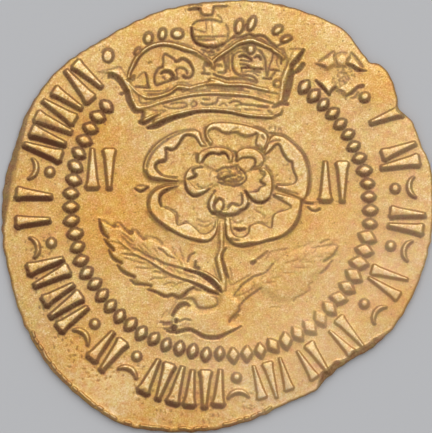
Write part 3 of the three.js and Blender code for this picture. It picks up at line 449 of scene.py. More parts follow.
LEFT_LEAF_CUTS = [
    (0.85, (0.05, 0.09, 0.08, 0.05), [(-5.54, -0.16), (-5.47, -0.5), (-5.36, -0.8), (-5.14, -1.0)]),
    (0.82, (0.04, 0.09, 0.07), [(-5.3, -1.08), (-5.15, -1.3), (-4.95, -1.5), (-4.86, -1.6)]),
    (0.82, (0.05, 0.07, 0.09, 0.05), [(-5.08, -1.58), (-4.98, -1.85), (-4.8, -2.05), (-4.5, -2.2)]),
    (0.78, (0.05, 0.07, 0.09, 0.06), [(-4.68, -2.3), (-4.5, -2.55), (-4.25, -2.7), (-3.88, -2.86)]),
    (0.72, (0.05, 0.07, 0.04), [(-4.05, -3.0), (-3.85, -3.18), (-3.5, -3.2), (-3.1, -3.27)]),
    (0.75, (0.05, 0.07, 0.08, 0.08, 0.06), [(-3.25, -3.45), (-2.9, -3.55), (-2.6, -3.7), (-2.35, -3.78),
     (-2.1, -3.7), (-1.85, -3.82), (-1.6, -3.75), (-1.35, -3.5), (-1.08, -3.34)]),
    (0.6, (0.03, 0.04), [(-5.55, -0.18), (-5.3, -0.2), (-5.05, -0.35), (-4.85, -0.46)]),
    # The short wide cuts at the notches of the leaf's upper edge are painted shadows.
    (0.5, (0.1, 0.06), [(-4.8, -0.44), (-4.62, -0.5)]),
    (0.62, (0.03, 0.05), [(-4.85, -0.3), (-4.6, -0.32), (-4.4, -0.5), (-4.2, -0.7), (-4.05, -0.82)]),
    (0.5, (0.1, 0.06), [(-4.06, -0.74), (-3.94, -0.7)]),
    (0.6, (0.04,), [(-4.0, -0.58), (-3.8, -0.65), (-3.6, -0.9), (-3.45, -1.06)]),
    (0.4, (0.08, 0.05), [(-3.4, -1.05), (-3.2, -1.02)]),
    (0.55, (0.035,), [(-3.36, -0.9), (-3.0, -0.98), (-2.75, -1.1), (-2.55, -1.28)]),
    (0.68, (0.06, 0.05, 0.04, 0.03), [(-1.5, -2.48), (-2.0, -2.36), (-2.5, -2.2), (-2.9, -2.0),
     (-3.3, -1.85), (-3.6, -1.65), (-3.95, -1.48)]),
    (0.68, (0.05, 0.06, 0.04, 0.03), [(-1.7, -2.95), (-2.1, -2.8), (-2.5, -2.6), (-2.8, -2.42),
     (-3.1, -2.18), (-3.4, -2.02), (-3.8, -1.87), (-4.35, -1.78)]),
    (0.6, (0.04, 0.05), [(-2.0, -1.96), (-2.3, -1.85), (-2.5, -1.65), (-2.75, -1.5)]),
    (0.42, (0.03,), [(-3.5, -1.3), (-3.3, -1.5), (-3.1, -1.7)]),
    (0.42, (0.03,), [(-3.0, -1.48), (-2.85, -1.65), (-2.75, -1.86)]),
    (0.5, (0.05, 0.03), [(-4.42, -0.8), (-4.2, -1.0), (-3.95, -1.2)]),
    (0.42, (0.04,), [(-4.4, -1.02), (-4.15, -1.25), (-3.85, -1.4)]),
    (0.42, (0.03,), [(-4.45, -1.4), (-4.2, -1.5), (-3.9, -1.62)]),
    (0.42, (0.03,), [(-3.6, -1.45), (-3.3, -1.7), (-2.95, -1.85)]),
    (0.45, (0.03,), [(-4.35, -1.95), (-3.9, -2.1), (-3.55, -2.18)]),
    (0.5, (0.035,), [(-3.8, -2.4), (-3.3, -2.45), (-2.95, -2.43)]),
    (0.45, (0.04,), [(-2.95, -2.58), (-2.65, -2.66), (-2.4, -2.76)]),
    (0.5, (0.04,), [(-3.15, -3.0), (-2.95, -2.9), (-2.6, -2.92)]),
    (0.45, (0.035,), [(-2.5, -3.22), (-2.25, -3.12), (-2.0, -3.15)]),
    (0.45, (0.035,), [(-2.05, -3.3), (-1.75, -3.12), (-1.5, -3.05)]),
    (0.4, (0.03,), [(-2.1, -1.45), (-1.98, -1.7), (-1.75, -2.1), (-1.6, -2.36)]),
    (0.42, (0.03,), [(-1.75, -1.5), (-1.65, -1.8), (-1.5, -2.2)]),
    (0.4, (0.03,), [(-1.55, -2.6), (-1.4, -2.8), (-1.1, -2.86)]),
    (1.0, (0.05, 0.09, 0.13, 0.15, 0.16, 0.14, 0.1, 0.05), [(-1.55, -2.5), (-1.2, -2.58), (-0.9, -2.64),
     (-0.6, -2.8), (-0.3, -3.0), (-0.1, -3.2), (0.08, -3.4), (0.2, -3.56)]),
    (0.92, (0.04, 0.06, 0.1, 0.1, 0.07, 0.04), [(-1.65, -2.97), (-1.3, -3.06), (-1.0, -3.2),
     (-0.7, -3.33), (-0.4, -3.5), (-0.1, -3.6), (0.06, -3.68)]),
    (0.6, (0.06, 0.05), [(-1.36, -2.1), (-1.28, -1.85), (-1.05, -1.72)]),
    (0.8, (0.05, 0.08), [(-1.0, -2.12), (-1.03, -2.36), (-0.85, -2.44)]),
]
RIGHT_LEAF_CUTS = [
    (0.66, (0.03, 0.05, 0.05, 0.04, 0.04), [(0.8, -3.7), (0.9, -3.55), (1.05, -3.4), (1.15, -3.25),
     (1.4, -3.05), (1.7, -2.85), (2.0, -2.75), (2.25, -2.66), (2.45, -2.45), (2.6, -2.25)]),
    (0.42, (0.03,), [(0.8, -3.78), (1.2, -3.65), (1.6, -3.45), (1.75, -3.25), (1.7, -3.05)]),
    (0.72, (0.12, 0.08), [(1.66, -2.2), (1.78, -2.14)]),
    (0.55, (0.05, 0.07, 0.04), [(1.8, -2.06), (2.05, -1.92), (2.35, -1.66)]),
    (0.35, (0.04,), [(2.3, -2.0), (2.5, -1.7), (2.9, -1.6), (3.3, -1.52)]),
    (0.3, (0.03,), [(2.6, -2.24), (2.9, -2.0), (3.3, -1.7)]),
    (0.32, (0.03,), [(3.7, -1.5), (4.0, -1.42), (4.5, -1.2)]),
    (0.45, (0.035,), [(4.5, -1.5), (5.0, -1.4), (5.5, -1.34), (5.72, -1.42)]),
    (0.66, (0.04, 0.07, 0.06), [(5.66, -1.48), (5.5, -1.8), (5.3, -1.96), (5.04, -2.13)]),
    (0.6, (0.04, 0.07, 0.05), [(5.4, -2.08), (5.2, -2.4), (5.05, -2.56), (4.84, -2.7)]),
    (0.5, (0.05, 0.03), [(4.85, -1.26), (5.02, -1.18), (5.22, -1.1)]),
    (0.42, (0.04, 0.05), [(4.5, -3.1), (4.3, -3.25), (4.35, -3.45), (4.1, -3.65), (3.9, -3.75),
     (3.65, -3.88), (3.58, -4.0)]),
    (0.3, (0.03,), [(3.2, -2.2), (3.6, -2.1), (4.2, -2.05)]),
    (0.28, (0.03,), [(2.5, -4.3), (2.7, -4.26), (3.0, -4.28)]),
]
engrave(STALK_CUTS + LEFT_LEAF_CUTS + RIGHT_LEAF_CUTS + VEIN_CUTS, width=0.8)

# The crown. A circlet of hoops with a row of jewels, two arches set with pearls and lilies under them, and an
# orb and cross on top, all struck in fine raised lines with a graver's cuts between them.
CIRCLET = [
    (-5.55, 6.9), (-5.0, 6.78), (-4.6, 6.62), (-4.32, 6.28), (-4.08, 5.9), (-3.98, 5.5), (-3.82, 5.2),
    (-3.66, 5.05), (-3.4, 5.0), (-3.4, 4.62), (-3.0, 4.6), (-2.9, 4.46), (-2.5, 4.62), (-2.0, 4.8),
    (-1.5, 4.92), (-1.0, 5.0), (-0.5, 5.04), (0.0, 5.02), (0.5, 4.96), (1.0, 4.86), (1.5, 4.76),
    (2.0, 4.7), (2.5, 4.66), (3.0, 4.86), (3.1, 5.1), (3.12, 5.4), (3.14, 5.8), (3.22, 6.2), (3.42, 6.62),
    (3.6, 7.0), (3.9, 7.6), (3.6, 7.8), (3.3, 7.2), (3.0, 6.6), (2.6, 6.1), (1.5, 6.24), (0.4, 6.3),
    (-0.6, 6.26), (-1.6, 6.2), (-2.6, 6.06), (-3.6, 6.1), (-4.0, 6.3), (-4.3, 6.8), (-4.6, 6.95),
]
raise_form(smooth(CIRCLET, closed=True), 0.45, shoulder=0.1, shade_and_dirt=0.15)
ARCHES = [
    [(-4.16, 6.55), (-4.05, 6.9), (-3.82, 7.42), (-3.54, 7.73), (-3.07, 8.04), (-2.57, 8.15),
     (-2.13, 8.12), (-1.66, 7.99), (-1.19, 7.83), (-0.72, 7.6), (-0.28, 7.3), (-0.16, 7.1)],
    [(-0.16, 7.35), (0.3, 7.7), (0.64, 7.9), (0.98, 8.16), (1.32, 8.28), (1.65, 8.32), (2.0, 8.2),
     (2.32, 8.04), (2.6, 7.9), (2.8, 7.75), (3.1, 7.5)],
]
HOOPS = [
    [(-4.26, 6.4), (-4.0, 6.1), (-3.7, 5.82), (-3.29, 5.62), (-2.91, 5.64), (-2.44, 5.75), (-2.13, 5.9),
     (-1.88, 6.1), (-1.66, 6.12), (-1.32, 6.05)],
    [(-3.76, 5.14), (-3.23, 5.2), (-2.6, 5.42), (-1.82, 5.62), (-1.19, 5.75), (-0.56, 5.81), (0.31, 5.82),
     (0.98, 5.78), (1.82, 5.66), (2.6, 5.42)],
    [(-0.26, 6.45), (0.07, 6.36), (0.48, 6.22), (0.98, 6.22), (1.48, 6.18), (1.82, 6.08), (2.4, 5.96)],
    [(-1.6, 5.95), (-1.19, 6.08), (-0.7, 6.2), (-0.36, 6.28), (0.0, 6.26), (0.38, 6.2)],
    [(-3.4, 4.56), (-3.0, 4.76), (-2.7, 4.88)],
    [(-2.9, 4.48), (-2.4, 4.68), (-1.8, 4.86), (-1.0, 5.02), (-0.2, 5.05), (0.6, 4.98), (1.4, 4.8),
     (2.4, 4.72), (2.9, 4.9)],
]
FLARES = [
    [(-4.36, 6.5), (-4.14, 6.1), (-3.98, 5.6), (-3.76, 5.2)],
    [(3.28, 6.9), (3.08, 6.3), (3.02, 5.8), (2.94, 5.4)],
]
for line in ARCHES + HOOPS:
    raise_line(smooth(line), 0.07, 0.95, shade_and_dirt=0.3)
for line in FLARES:
    raise_line(smooth(line), 0.12, 0.8, shade_and_dirt=0.2)
ORB_CENTRE = (-0.33, 8.6)
raise_form(oval(ORB_CENTRE, (0.82, 0.6), count=40), 0.4, shoulder=0.2, shade_and_dirt=0.2)
CROSS = [
    (-0.72, 9.48), (-0.2, 9.48), (-0.12, 9.86), (0.42, 9.92), (0.42, 10.1), (-1.3, 10.1), (-1.25, 9.76),
    (-0.85, 9.8),
]
raise_form(np.array(CROSS), 0.4, shade_and_dirt=0.3)
PEARL_RIM = 0.05
PEARLS = [
    ((-3.23, 8.37), (0.2, 0.25), -10), ((-2.57, 8.56), (0.17, 0.25), -10),
    ((-1.86, 8.58), (0.27, 0.21), 0), ((-3.74, 7.76), (0.18, 0.09), 50), ((1.04, 8.92), (0.2, 0.33), -12),
    ((1.62, 9.06), (0.17, 0.34), -22), ((2.85, 8.76), (0.25, 0.16), 35), ((3.25, 8.34), (0.25, 0.13), 20),
    ((-5.14, 7.55), (0.26, 0.31), 0), ((2.81, 6.23), (0.14, 0.14), 0), ((1.58, 7.86), (0.19, 0.22), 0),
]
for place, reach, turn in PEARLS:
    raise_form(oval(place, reach, turn, 10), 0.7, foot=0.035, shoulder=0.1, shade_and_dirt=0.75, fall=0.1)
    rim = oval(place, np.add(reach, PEARL_RIM), turn, 9)
    engrave([(0.72, (0.03,), np.vstack([rim, rim[:1]]))])
FLARE_CUTS = [
    (0.82, (0.08, 0.1, 0.13, 0.13, 0.12, 0.11, 0.12), [(-5.5, 6.14), (-5.3, 6.45), (-5.05, 6.62),
     (-4.85, 6.58), (-4.6, 6.4), (-4.4, 6.1), (-4.24, 5.85)]),
    (0.78, (0.12, 0.12, 0.12, 0.11, 0.06), [(-4.24, 5.85), (-4.15, 5.48), (-4.02, 5.2), (-3.85, 4.95),
     (-3.55, 4.92)]),
    (0.8, (0.06, 0.05), [(-3.5, 4.92), (-3.5, 4.7), (-3.6, 4.48)]),
    (0.86, (0.06, 0.1, 0.08, 0.03), [(-3.65, 4.42), (-3.45, 4.38), (-3.2, 4.5), (-2.8, 4.74)]),
    (0.9, (0.07, 0.14, 0.13, 0.11, 0.09, 0.07, 0.06, 0.06, 0.05, 0.04), [(-3.25, 4.16), (-2.9, 4.24),
     (-2.5, 4.45), (-2.0, 4.65), (-1.5, 4.78), (-1.0, 4.9), (-0.4, 4.94), (0.5, 4.88), (1.0, 4.78),
     (1.5, 4.68), (2.0, 4.64), (2.55, 4.6)]),
    (0.55, (0.03,), [(-5.5, 6.9), (-5.1, 6.9), (-4.6, 7.02), (-4.42, 6.85), (-4.3, 6.62)]),
    (0.5, (0.06, 0.1, 0.04), [(-4.2, 6.4), (-3.98, 6.45), (-3.9, 6.6)]),
    (0.6, (0.08, 0.05), [(-4.5, 5.74), (-4.36, 5.8)]),
    (0.8, (0.05, 0.08, 0.1, 0.06), [(2.63, 5.12), (2.83, 5.21), (3.0, 5.3), (3.32, 5.27)]),
    (0.72, (0.1, 0.13, 0.14, 0.12, 0.1), [(3.2, 5.45), (3.3, 5.81), (3.4, 6.21), (3.46, 6.58),
     (3.5, 6.8)]),
    (0.88, (0.08, 0.12, 0.12, 0.1, 0.06), [(3.5, 6.85), (3.53, 7.1), (3.73, 7.32), (3.9, 7.55),
     (4.06, 7.8)]),
    (0.8, (0.06, 0.1, 0.09), [(3.55, 6.7), (3.8, 6.84), (3.95, 7.0), (4.04, 7.14)]),
    (0.5, (0.03,), [(3.4, 7.84), (3.8, 7.87), (4.08, 7.86)]),
    (0.5, (0.04,), [(3.1, 7.9), (3.22, 7.6), (3.3, 7.3), (3.24, 7.02)]),
    (0.65, (0.05,), [(2.4, 4.96), (2.7, 4.76), (3.0, 4.78), (3.06, 4.96)]),
]
HOOP_CUTS = [
    (0.7, (0.03,), [(-3.45, 5.91), (-2.91, 5.88), (-2.44, 5.95), (-2.26, 6.04)]),
    (0.75, (0.03,), [(-3.29, 5.74), (-3.01, 5.74), (-2.69, 5.77), (-2.44, 5.85), (-2.16, 5.97),
     (-1.94, 6.12)]),
    (0.8, (0.03, 0.04, 0.06, 0.05), [(-3.4, 5.5), (-2.9, 5.52), (-2.5, 5.62), (-2.3, 5.7), (-2.07, 5.82),
     (-1.88, 5.97), (-1.66, 5.96), (-1.35, 5.95)]),
    (0.65, (0.03,), [(-3.68, 5.63), (-3.65, 5.44), (-3.54, 5.3), (-3.29, 5.32), (-2.9, 5.45)]),
    (0.82, (0.03, 0.04), [(-2.57, 5.28), (-2.13, 5.41), (-1.66, 5.54), (-1.19, 5.63), (-0.53, 5.7),
     (0.0, 5.7), (0.48, 5.65), (0.85, 5.64), (1.32, 5.62), (1.72, 5.55), (2.0, 5.46), (2.42, 5.35),
     (2.69, 5.29)]),
    (0.85, (0.04, 0.05, 0.03), [(-0.16, 6.68), (0.0, 6.6), (0.24, 6.53), (0.54, 6.42)]),
    (0.55, (0.06, 0.07), [(0.45, 6.45), (0.9, 6.46), (1.32, 6.44), (1.85, 6.3)]),
    (0.6, (0.03,), [(-1.0, 6.1), (-0.7, 6.15), (-0.48, 6.28), (-0.4, 6.45)]),
    (0.8, (0.04, 0.05, 0.04, 0.03), [(-0.5, 6.16), (-0.03, 6.18), (0.38, 6.12), (0.78, 6.1), (1.15, 6.1),
     (1.58, 6.02), (1.92, 5.95), (2.32, 5.84), (2.83, 5.76)]),
    (0.5, (0.06,), [(-0.45, 6.03), (0.0, 6.04), (0.5, 6.01), (1.2, 5.97)]),
    (0.6, (0.03,), [(0.14, 5.91), (0.64, 5.93), (1.11, 5.91), (1.5, 5.84)]),
    (0.6, (0.03,), [(-1.3, 5.84), (-0.8, 5.92), (-0.3, 5.93)]),
    (0.5, (0.04,), [(0.07, 5.58), (0.64, 5.54)]), (0.45, (0.03,), [(1.8, 5.86), (2.1, 5.8), (2.5, 5.6)]),
    (0.4, (0.03,), [(1.9, 5.6), (2.05, 5.74), (2.2, 5.58)]),
    (0.5, (0.03,), [(-3.2, 5.02), (-2.8, 4.96), (-2.5, 4.98)]),
    (0.5, (0.03,), [(-2.85, 4.82), (-2.6, 4.88), (-2.4, 4.96)]),
]
JEWEL_CUTS = [
    (0.7, (0.03,), [(-2.5, 5.18), (-2.3, 5.1), (-2.0, 5.06), (-1.65, 5.1), (-1.42, 5.2), (-1.5, 5.33),
     (-1.9, 5.33), (-2.2, 5.27)]),
    (0.65, (0.03,), [(-1.25, 5.25), (-1.1, 5.42), (-0.95, 5.3), (-1.1, 5.16), (-1.25, 5.25)]),
    (0.75, (0.04,), [(-0.73, 5.31), (-0.56, 5.24), (-0.3, 5.26), (-0.03, 5.36), (0.04, 5.54)]),
    (0.6, (0.04,), [(-0.66, 5.5), (-0.36, 5.48)]),
    (0.7, (0.035,), [(0.58, 5.32), (0.78, 5.41), (1.05, 5.39), (1.11, 5.27), (0.85, 5.2)]),
    (0.6, (0.03,), [(0.5, 5.06), (0.8, 5.03), (1.1, 5.02)]),
    (0.8, (0.04,), [(1.14, 5.27), (1.45, 5.24), (1.79, 5.21)]),
    (0.85, (0.06, 0.05), [(1.9, 5.17), (2.19, 5.14), (2.4, 5.12)]),
    (0.5, (0.03,), [(1.3, 5.02), (1.7, 5.0), (2.1, 4.98)]),
    (0.5, (0.03,), [(0.1, 5.2), (0.3, 5.32), (0.45, 5.2)]),
]
ARCH_CUTS = [
    (0.6, (0.025,), [(0.35, 7.95), (0.6, 8.12), (0.85, 8.3), (1.15, 8.36), (1.4, 8.41), (1.6, 8.45),
     (1.8, 8.38), (2.1, 8.33), (2.35, 8.16), (2.6, 7.99)]),
    (0.5, (0.025,), [(0.28, 7.8), (0.5, 7.97), (0.72, 8.13)]),
    (0.6, (0.03,), [(2.5, 8.05), (2.75, 7.85), (2.95, 7.74)]),
    (0.6, (0.03,), [(2.75, 7.95), (3.0, 7.85), (3.1, 7.65), (3.05, 7.4)]),
    (0.5, (0.03,), [(2.85, 7.5), (2.8, 7.25), (2.9, 7.0)]),
    (0.5, (0.03,), [(0.5, 7.6), (0.56, 7.3), (0.55, 7.0), (0.62, 6.8)]),
    (0.45, (0.025,), [(2.1, 7.7), (2.14, 7.4), (2.2, 7.1), (2.2, 6.8)]),
    (0.85, (0.04, 0.05), [(-4.08, 6.62), (-4.01, 6.82), (-3.85, 7.07), (-3.65, 7.45), (-3.38, 7.73),
     (-3.13, 7.89), (-2.82, 7.99), (-2.57, 8.03), (-2.19, 7.98), (-1.82, 7.87), (-1.5, 7.75),
     (-0.94, 7.68)]),
    (0.5, (0.025,), [(-4.26, 6.55), (-4.2, 6.8), (-4.0, 7.25), (-3.78, 7.56), (-3.5, 7.86)]),
    (0.6, (0.03,), [(-3.1, 8.12), (-2.6, 8.24), (-2.1, 8.22), (-1.6, 8.1), (-1.2, 7.97)]),
    (0.8, (0.04,), [(-0.83, 7.72), (-0.6, 7.52), (-0.36, 7.32), (-0.25, 7.15)]),
    (0.7, (0.05, 0.05), [(-0.7, 7.84), (-0.55, 7.8)]), (0.7, (0.05, 0.05), [(-0.36, 7.74), (-0.2, 7.7)]),
    (0.7, (0.05, 0.04), [(0.0, 7.8), (0.12, 7.84)]), (0.65, (0.04, 0.04), [(-0.3, 7.56), (-0.1, 7.6)]),
    (0.6, (0.04,), [(-0.5, 7.92), (-0.2, 7.88), (0.1, 7.92)]),
    (0.85, (0.04, 0.05, 0.06, 0.05), [(0.21, 7.96), (0.44, 8.19), (0.78, 8.4), (1.11, 8.43), (1.38, 8.51),
     (1.55, 8.56), (1.75, 8.47), (2.0, 8.5), (2.26, 8.42), (2.46, 8.23), (2.66, 8.06), (2.83, 7.97)]),
    (0.87, (0.04, 0.05, 0.06, 0.05), [(-0.09, 7.27), (0.07, 7.45), (0.31, 7.58), (0.58, 7.77),
     (0.85, 7.96), (1.05, 8.05), (1.32, 8.1), (1.58, 8.15), (1.85, 8.08), (2.09, 7.99), (2.36, 7.9),
     (2.52, 7.83)]),
    (0.6, (0.03,), [(0.0, 7.28), (0.38, 7.48), (0.71, 7.68), (0.98, 7.87), (1.15, 7.92)]),
    (0.5, (0.05,), [(1.82, 8.34), (2.16, 8.22), (2.46, 8.06)]),
    (0.8, (0.05, 0.05), [(2.52, 7.86), (2.66, 7.69), (2.93, 7.59), (3.03, 7.42), (3.0, 7.19)]),
    (0.66, (0.05,), [(2.9, 8.04), (3.1, 8.12), (3.5, 8.32)]),
    (1.0, (0.06, 0.07, 0.07, 0.05), [(-1.2, 8.85), (-1.16, 8.45), (-0.98, 8.15), (-0.56, 7.98),
     (-0.1, 7.96), (0.3, 8.1)]),
    (0.75, (0.045,), [(-1.15, 9.0), (-0.92, 9.17), (-0.33, 9.24), (0.2, 9.13)]),
    (0.65, (0.045,), [(0.42, 9.0), (0.54, 8.7), (0.48, 8.35)]),
    (0.8, (0.035,), [(-1.05, 8.45), (-0.6, 8.44), (0.0, 8.45), (0.4, 8.48)]),
    (0.55, (0.06, 0.06, 0.03), [(-0.9, 8.3), (-0.5, 8.28), (-0.1, 8.31)]),
    (0.5, (0.03,), [(-0.52, 9.2), (-0.5, 8.9), (-0.5, 8.62)]),
    (0.4, (0.03,), [(-0.24, 9.18), (-0.24, 8.9), (-0.22, 8.64)]),
    (0.55, (0.035,), [(-1.05, 8.8), (-0.78, 8.7), (-0.58, 8.66)]),
    (0.8, (0.05, 0.1, 0.07), [(-1.32, 9.7), (-1.05, 9.78), (-0.8, 9.74)]),
    (0.7, (0.04,), [(-1.35, 9.92), (-1.0, 9.96), (-0.72, 9.9)]),
    (0.76, (0.05,), [(-0.78, 9.64), (-0.66, 9.48), (-0.4, 9.45), (-0.22, 9.5), (-0.16, 9.82)]),
    (0.76, (0.05,), [(-0.16, 9.88), (0.1, 9.9), (0.46, 9.88)]),
    (0.5, (0.035,), [(0.02, 9.45), (0.2, 9.3), (0.24, 9.12)]),
    (0.65, (0.03, 0.06), [(0.72, 8.4), (0.85, 8.52), (1.0, 8.56)]),
    (0.5, (0.03,), [(0.84, 8.66), (0.82, 9.2)]), (0.5, (0.03,), [(1.3, 8.74), (1.32, 9.0), (1.44, 9.2)]),
]
LILY_CUTS = [
    (0.85, (0.05,), [(-2.57, 7.01), (-2.76, 6.95), (-2.88, 6.76), (-2.95, 6.51), (-2.91, 6.26),
     (-2.82, 6.17), (-2.57, 6.26), (-2.29, 6.35), (-1.97, 6.45), (-1.85, 6.48)]),
    (0.76, (0.05,), [(-2.57, 7.01), (-2.52, 7.26), (-2.54, 7.45), (-2.44, 7.62), (-2.29, 7.54),
     (-2.07, 7.42), (-1.94, 7.28)]),
    (0.84, (0.05, 0.07, 0.07, 0.05, 0.05, 0.08), [(-1.94, 7.26), (-1.82, 7.29), (-1.66, 7.39),
     (-1.5, 7.36), (-1.32, 7.23), (-1.22, 7.07), (-1.13, 6.89), (-1.14, 6.7), (-1.25, 6.54),
     (-1.45, 6.51), (-1.57, 6.57)]),
    (0.85, (0.045,), [(-1.94, 6.85), (-1.82, 6.96), (-1.6, 6.96), (-1.44, 6.85), (-1.41, 6.7)]),
    (0.7, (0.035,), [(-1.91, 6.82), (-1.88, 6.63), (-1.92, 6.5)]),
    (0.95, (0.05, 0.08, 0.09, 0.08, 0.06), [(-2.63, 6.7), (-2.48, 6.8), (-2.26, 6.79), (-2.13, 6.68),
     (-2.05, 6.55), (-2.16, 6.46)]),
    (0.7, (0.04,), [(-2.57, 6.57), (-2.44, 6.44)]),
    (0.6, (0.025,), [(-3.76, 6.5), (-3.6, 6.66), (-3.46, 6.78)]),
    (0.8, (0.04, 0.06), [(-3.38, 6.74), (-3.32, 6.6), (-3.26, 6.26), (-3.23, 6.1)]),
    (0.85, (0.05,), [(-3.8, 6.1), (-3.45, 6.06), (-3.16, 6.04)]),
    (0.4, (0.06, 0.04), [(-3.2, 7.2), (-3.1, 7.24)]),
    (0.5, (0.03,), [(-1.9, 6.26), (-1.5, 6.26), (-1.2, 6.18)]),
    (0.75, (0.06, 0.05, 0.04), [(0.75, 7.56), (0.71, 7.29), (0.75, 6.95), (0.88, 6.72), (1.11, 6.61),
     (1.45, 6.61), (1.69, 6.54), (1.86, 6.4)]),
    (0.75, (0.035,), [(0.78, 7.59), (0.98, 7.72), (1.15, 7.74), (1.32, 7.72)]),
    (0.65, (0.09, 0.08), [(1.24, 7.9), (1.34, 7.84)]),
    (0.6, (0.03,), [(1.78, 7.98), (1.9, 7.83), (2.09, 7.75)]),
    (0.7, (0.05,), [(2.0, 7.78), (2.19, 7.52), (2.26, 7.32), (2.29, 7.02), (2.32, 6.62)]),
    (0.7, (0.04,), [(2.63, 7.66), (2.58, 7.36), (2.47, 7.09), (2.4, 6.75), (2.37, 6.58)]),
    (1.0, (0.05, 0.08, 0.06, 0.05), [(1.05, 7.5), (1.25, 7.55), (1.45, 7.46), (1.62, 7.38)]),
    (0.8, (0.04,), [(1.1, 7.35), (1.38, 7.3), (1.65, 7.29)]),
    (0.92, (0.04, 0.07, 0.05), [(1.75, 7.45), (1.89, 7.52), (2.02, 7.46), (2.05, 7.36)]),
    (0.85, (0.045,), [(1.11, 7.15), (1.32, 7.13), (1.52, 7.08)]),
    (0.95, (0.05,), [(1.15, 6.99), (1.48, 6.99), (1.82, 6.95), (2.12, 6.92)]),
    (0.8, (0.03,), [(1.15, 6.95), (1.16, 6.75)]),
    (0.7, (0.03,), [(1.22, 6.72), (1.45, 6.82), (1.65, 6.8), (1.85, 6.68), (1.95, 6.62)]),
    (0.65, (0.06, 0.05), [(1.7, 6.86), (2.0, 6.76)]),
    (0.8, (0.04,), [(2.49, 6.89), (2.7, 6.88), (2.93, 6.84)]),
    (0.65, (0.05,), [(2.76, 6.84), (2.66, 6.68), (2.52, 6.5)]),
    (0.9, (0.045,), [(2.18, 6.48), (2.35, 6.47), (2.54, 6.45)]),
    (0.65, (0.11, 0.09), [(-0.52, 7.14), (-0.42, 7.1)]), (0.6, (0.05,), [(-0.63, 7.02), (-0.6, 6.78)]),
    (0.75, (0.05,), [(-0.7, 6.72), (-0.36, 6.68)]),
    (0.65, (0.05, 0.07, 0.06, 0.04), [(0.31, 7.46), (0.38, 7.19), (0.42, 6.89), (0.31, 6.74),
     (0.05, 6.76)]),
    (0.5, (0.06,), [(-0.02, 7.1), (0.2, 7.06)]), (0.5, (0.07,), [(0.5, 7.42), (0.52, 7.2), (0.5, 7.0)]),
    (0.55, (0.03,), [(-0.12, 7.22), (-0.14, 6.95), (-0.1, 6.84)]),
]
engrave(FLARE_CUTS + HOOP_CUTS + JEWEL_CUTS + ARCH_CUTS + LILY_CUTS)
ARCH_FOOT = (-0.33, 7.78)
pits(ARCH_FOOT, (0.26, 0.16), 34, 0.85)

# The ring of beads. Small punched ovals set point to the middle, from the crown's right side down and round
# to its left. The ring is flattened at the upper right, and at the lower right the beads are worn to
# lozenges that run into one another.
RING_CENTRE = np.array((0.21, 0.63))
RING_RADIUS = 7.08
RING_DENT = 0.36
RING_DENT_ANGLE, RING_DENT_SHARP = 43, 4
BEADS = 54
BEAD_FROM, BEAD_TO = 54.7, -220.4
BEAD_REACH = np.array((0.39, 0.285))
BEAD_SCALES = [  # clock angle, size
    (-135, 0.97), (-100, 0.87), (-88, 0.86), (-60, 1.0), (-12, 1.1), (-11, 0.9),
]
LOZENGE_FROM, LOZENGE_TO = -12, -88
OVAL_POINTED, LOZENGE_POINTED = 1.25, 1.6
for angle in np.linspace(BEAD_FROM, BEAD_TO, BEADS):
    dent = RING_DENT * max(0.0, math.cos(math.radians(angle - RING_DENT_ANGLE))) ** RING_DENT_SHARP
    place = RING_CENTRE + polar(angle, RING_RADIUS - dent + random.normal(0, 0.03))
    lozenge = LOZENGE_TO < angle < LOZENGE_FROM
    reach = BEAD_REACH * random.uniform(0.93, 1.06) * np.interp(angle, *np.transpose(BEAD_SCALES))
    turn = angle + random.normal(0, 8)
    tall = random.uniform(0.88, 1.05)
    if lozenge:
        outline = oval(place, reach, turn, 16, LOZENGE_POINTED)
        raise_form(outline, tall, foot=0.085, shoulder=0.11, shade_and_dirt=0.9, fall=0.5)
    else:
        outline = oval(place, reach, turn, 12, OVAL_POINTED)
        raise_form(outline, tall, foot=0.06, shoulder=0.18, shade_and_dirt=1.0, fall=0.2)

# The rows of strokes. One to three nail-shaped strokes to a row, punched in the gold round the edge, heads in
# and out by turns, with round stops and a crescent outside each, a worn rosette by the crown, and two strokes
# on either hand of the rose. At the lower left their sides are painted wider and darker, as dirt and painted
# shade.
ROW_RADIUS = 8.75
STROKE_ROWS = [  # clock angle, how many strokes
    (28, 1), (15, 2), (-5, 2), (-25, 2), (-47, 2), (-60, 2), (-74, 3), (-95, 3), (-108, 3), (-128, 2),
    (-147, 3), (-159, 2), (-175, 1), (-183, 1), (-199, 2), (-210, 3), (-222, 2),
]
ROUND_STOPS = [5, -14, -35, -85, -119, -136.5, -167, -190.5]
STROKE_LONG = 1.7
STROKE_APART = 4.4
STROKE_FOOT = 0.105
FAINT_SIDES = (0.05, 0.66)  # the foot in mm, and how dark
# At the lower left the bands up the strokes' sides are painted wider and darker, as dirt and painted shade.
GRIMY_SHADED_SIDES = (0.12, 1.2)
PLAIN_SIDES = (STROKE_FOOT, 0.95)
FAINT_INWARD = 0.15
SHADE_AND_GRIME_FROM, SHADE_AND_GRIME_TO = -90, -205


def nail(place, turn, long, flip, height=1.0, foot=STROKE_FOOT, shade_and_dirt=0.85, die=obverse):
    """A nail-shaped stroke, with a broad head and drawn out to a point."""
    along, across = polar(turn, 1.0 if flip else -1.0), polar(turn + 90, 1.0)
    half = [(0.5, 0.11), (0.46, 0.15), (0.3, 0.11), (-0.5, 0.03)]
    corners = [(u, -v) for u, v in half] + half[::-1]
    outline = np.array([place + long * (u * along + v * across) for u, v in corners])
    raise_form(outline, height, foot=foot, shade_and_dirt=shade_and_dirt, die=die)


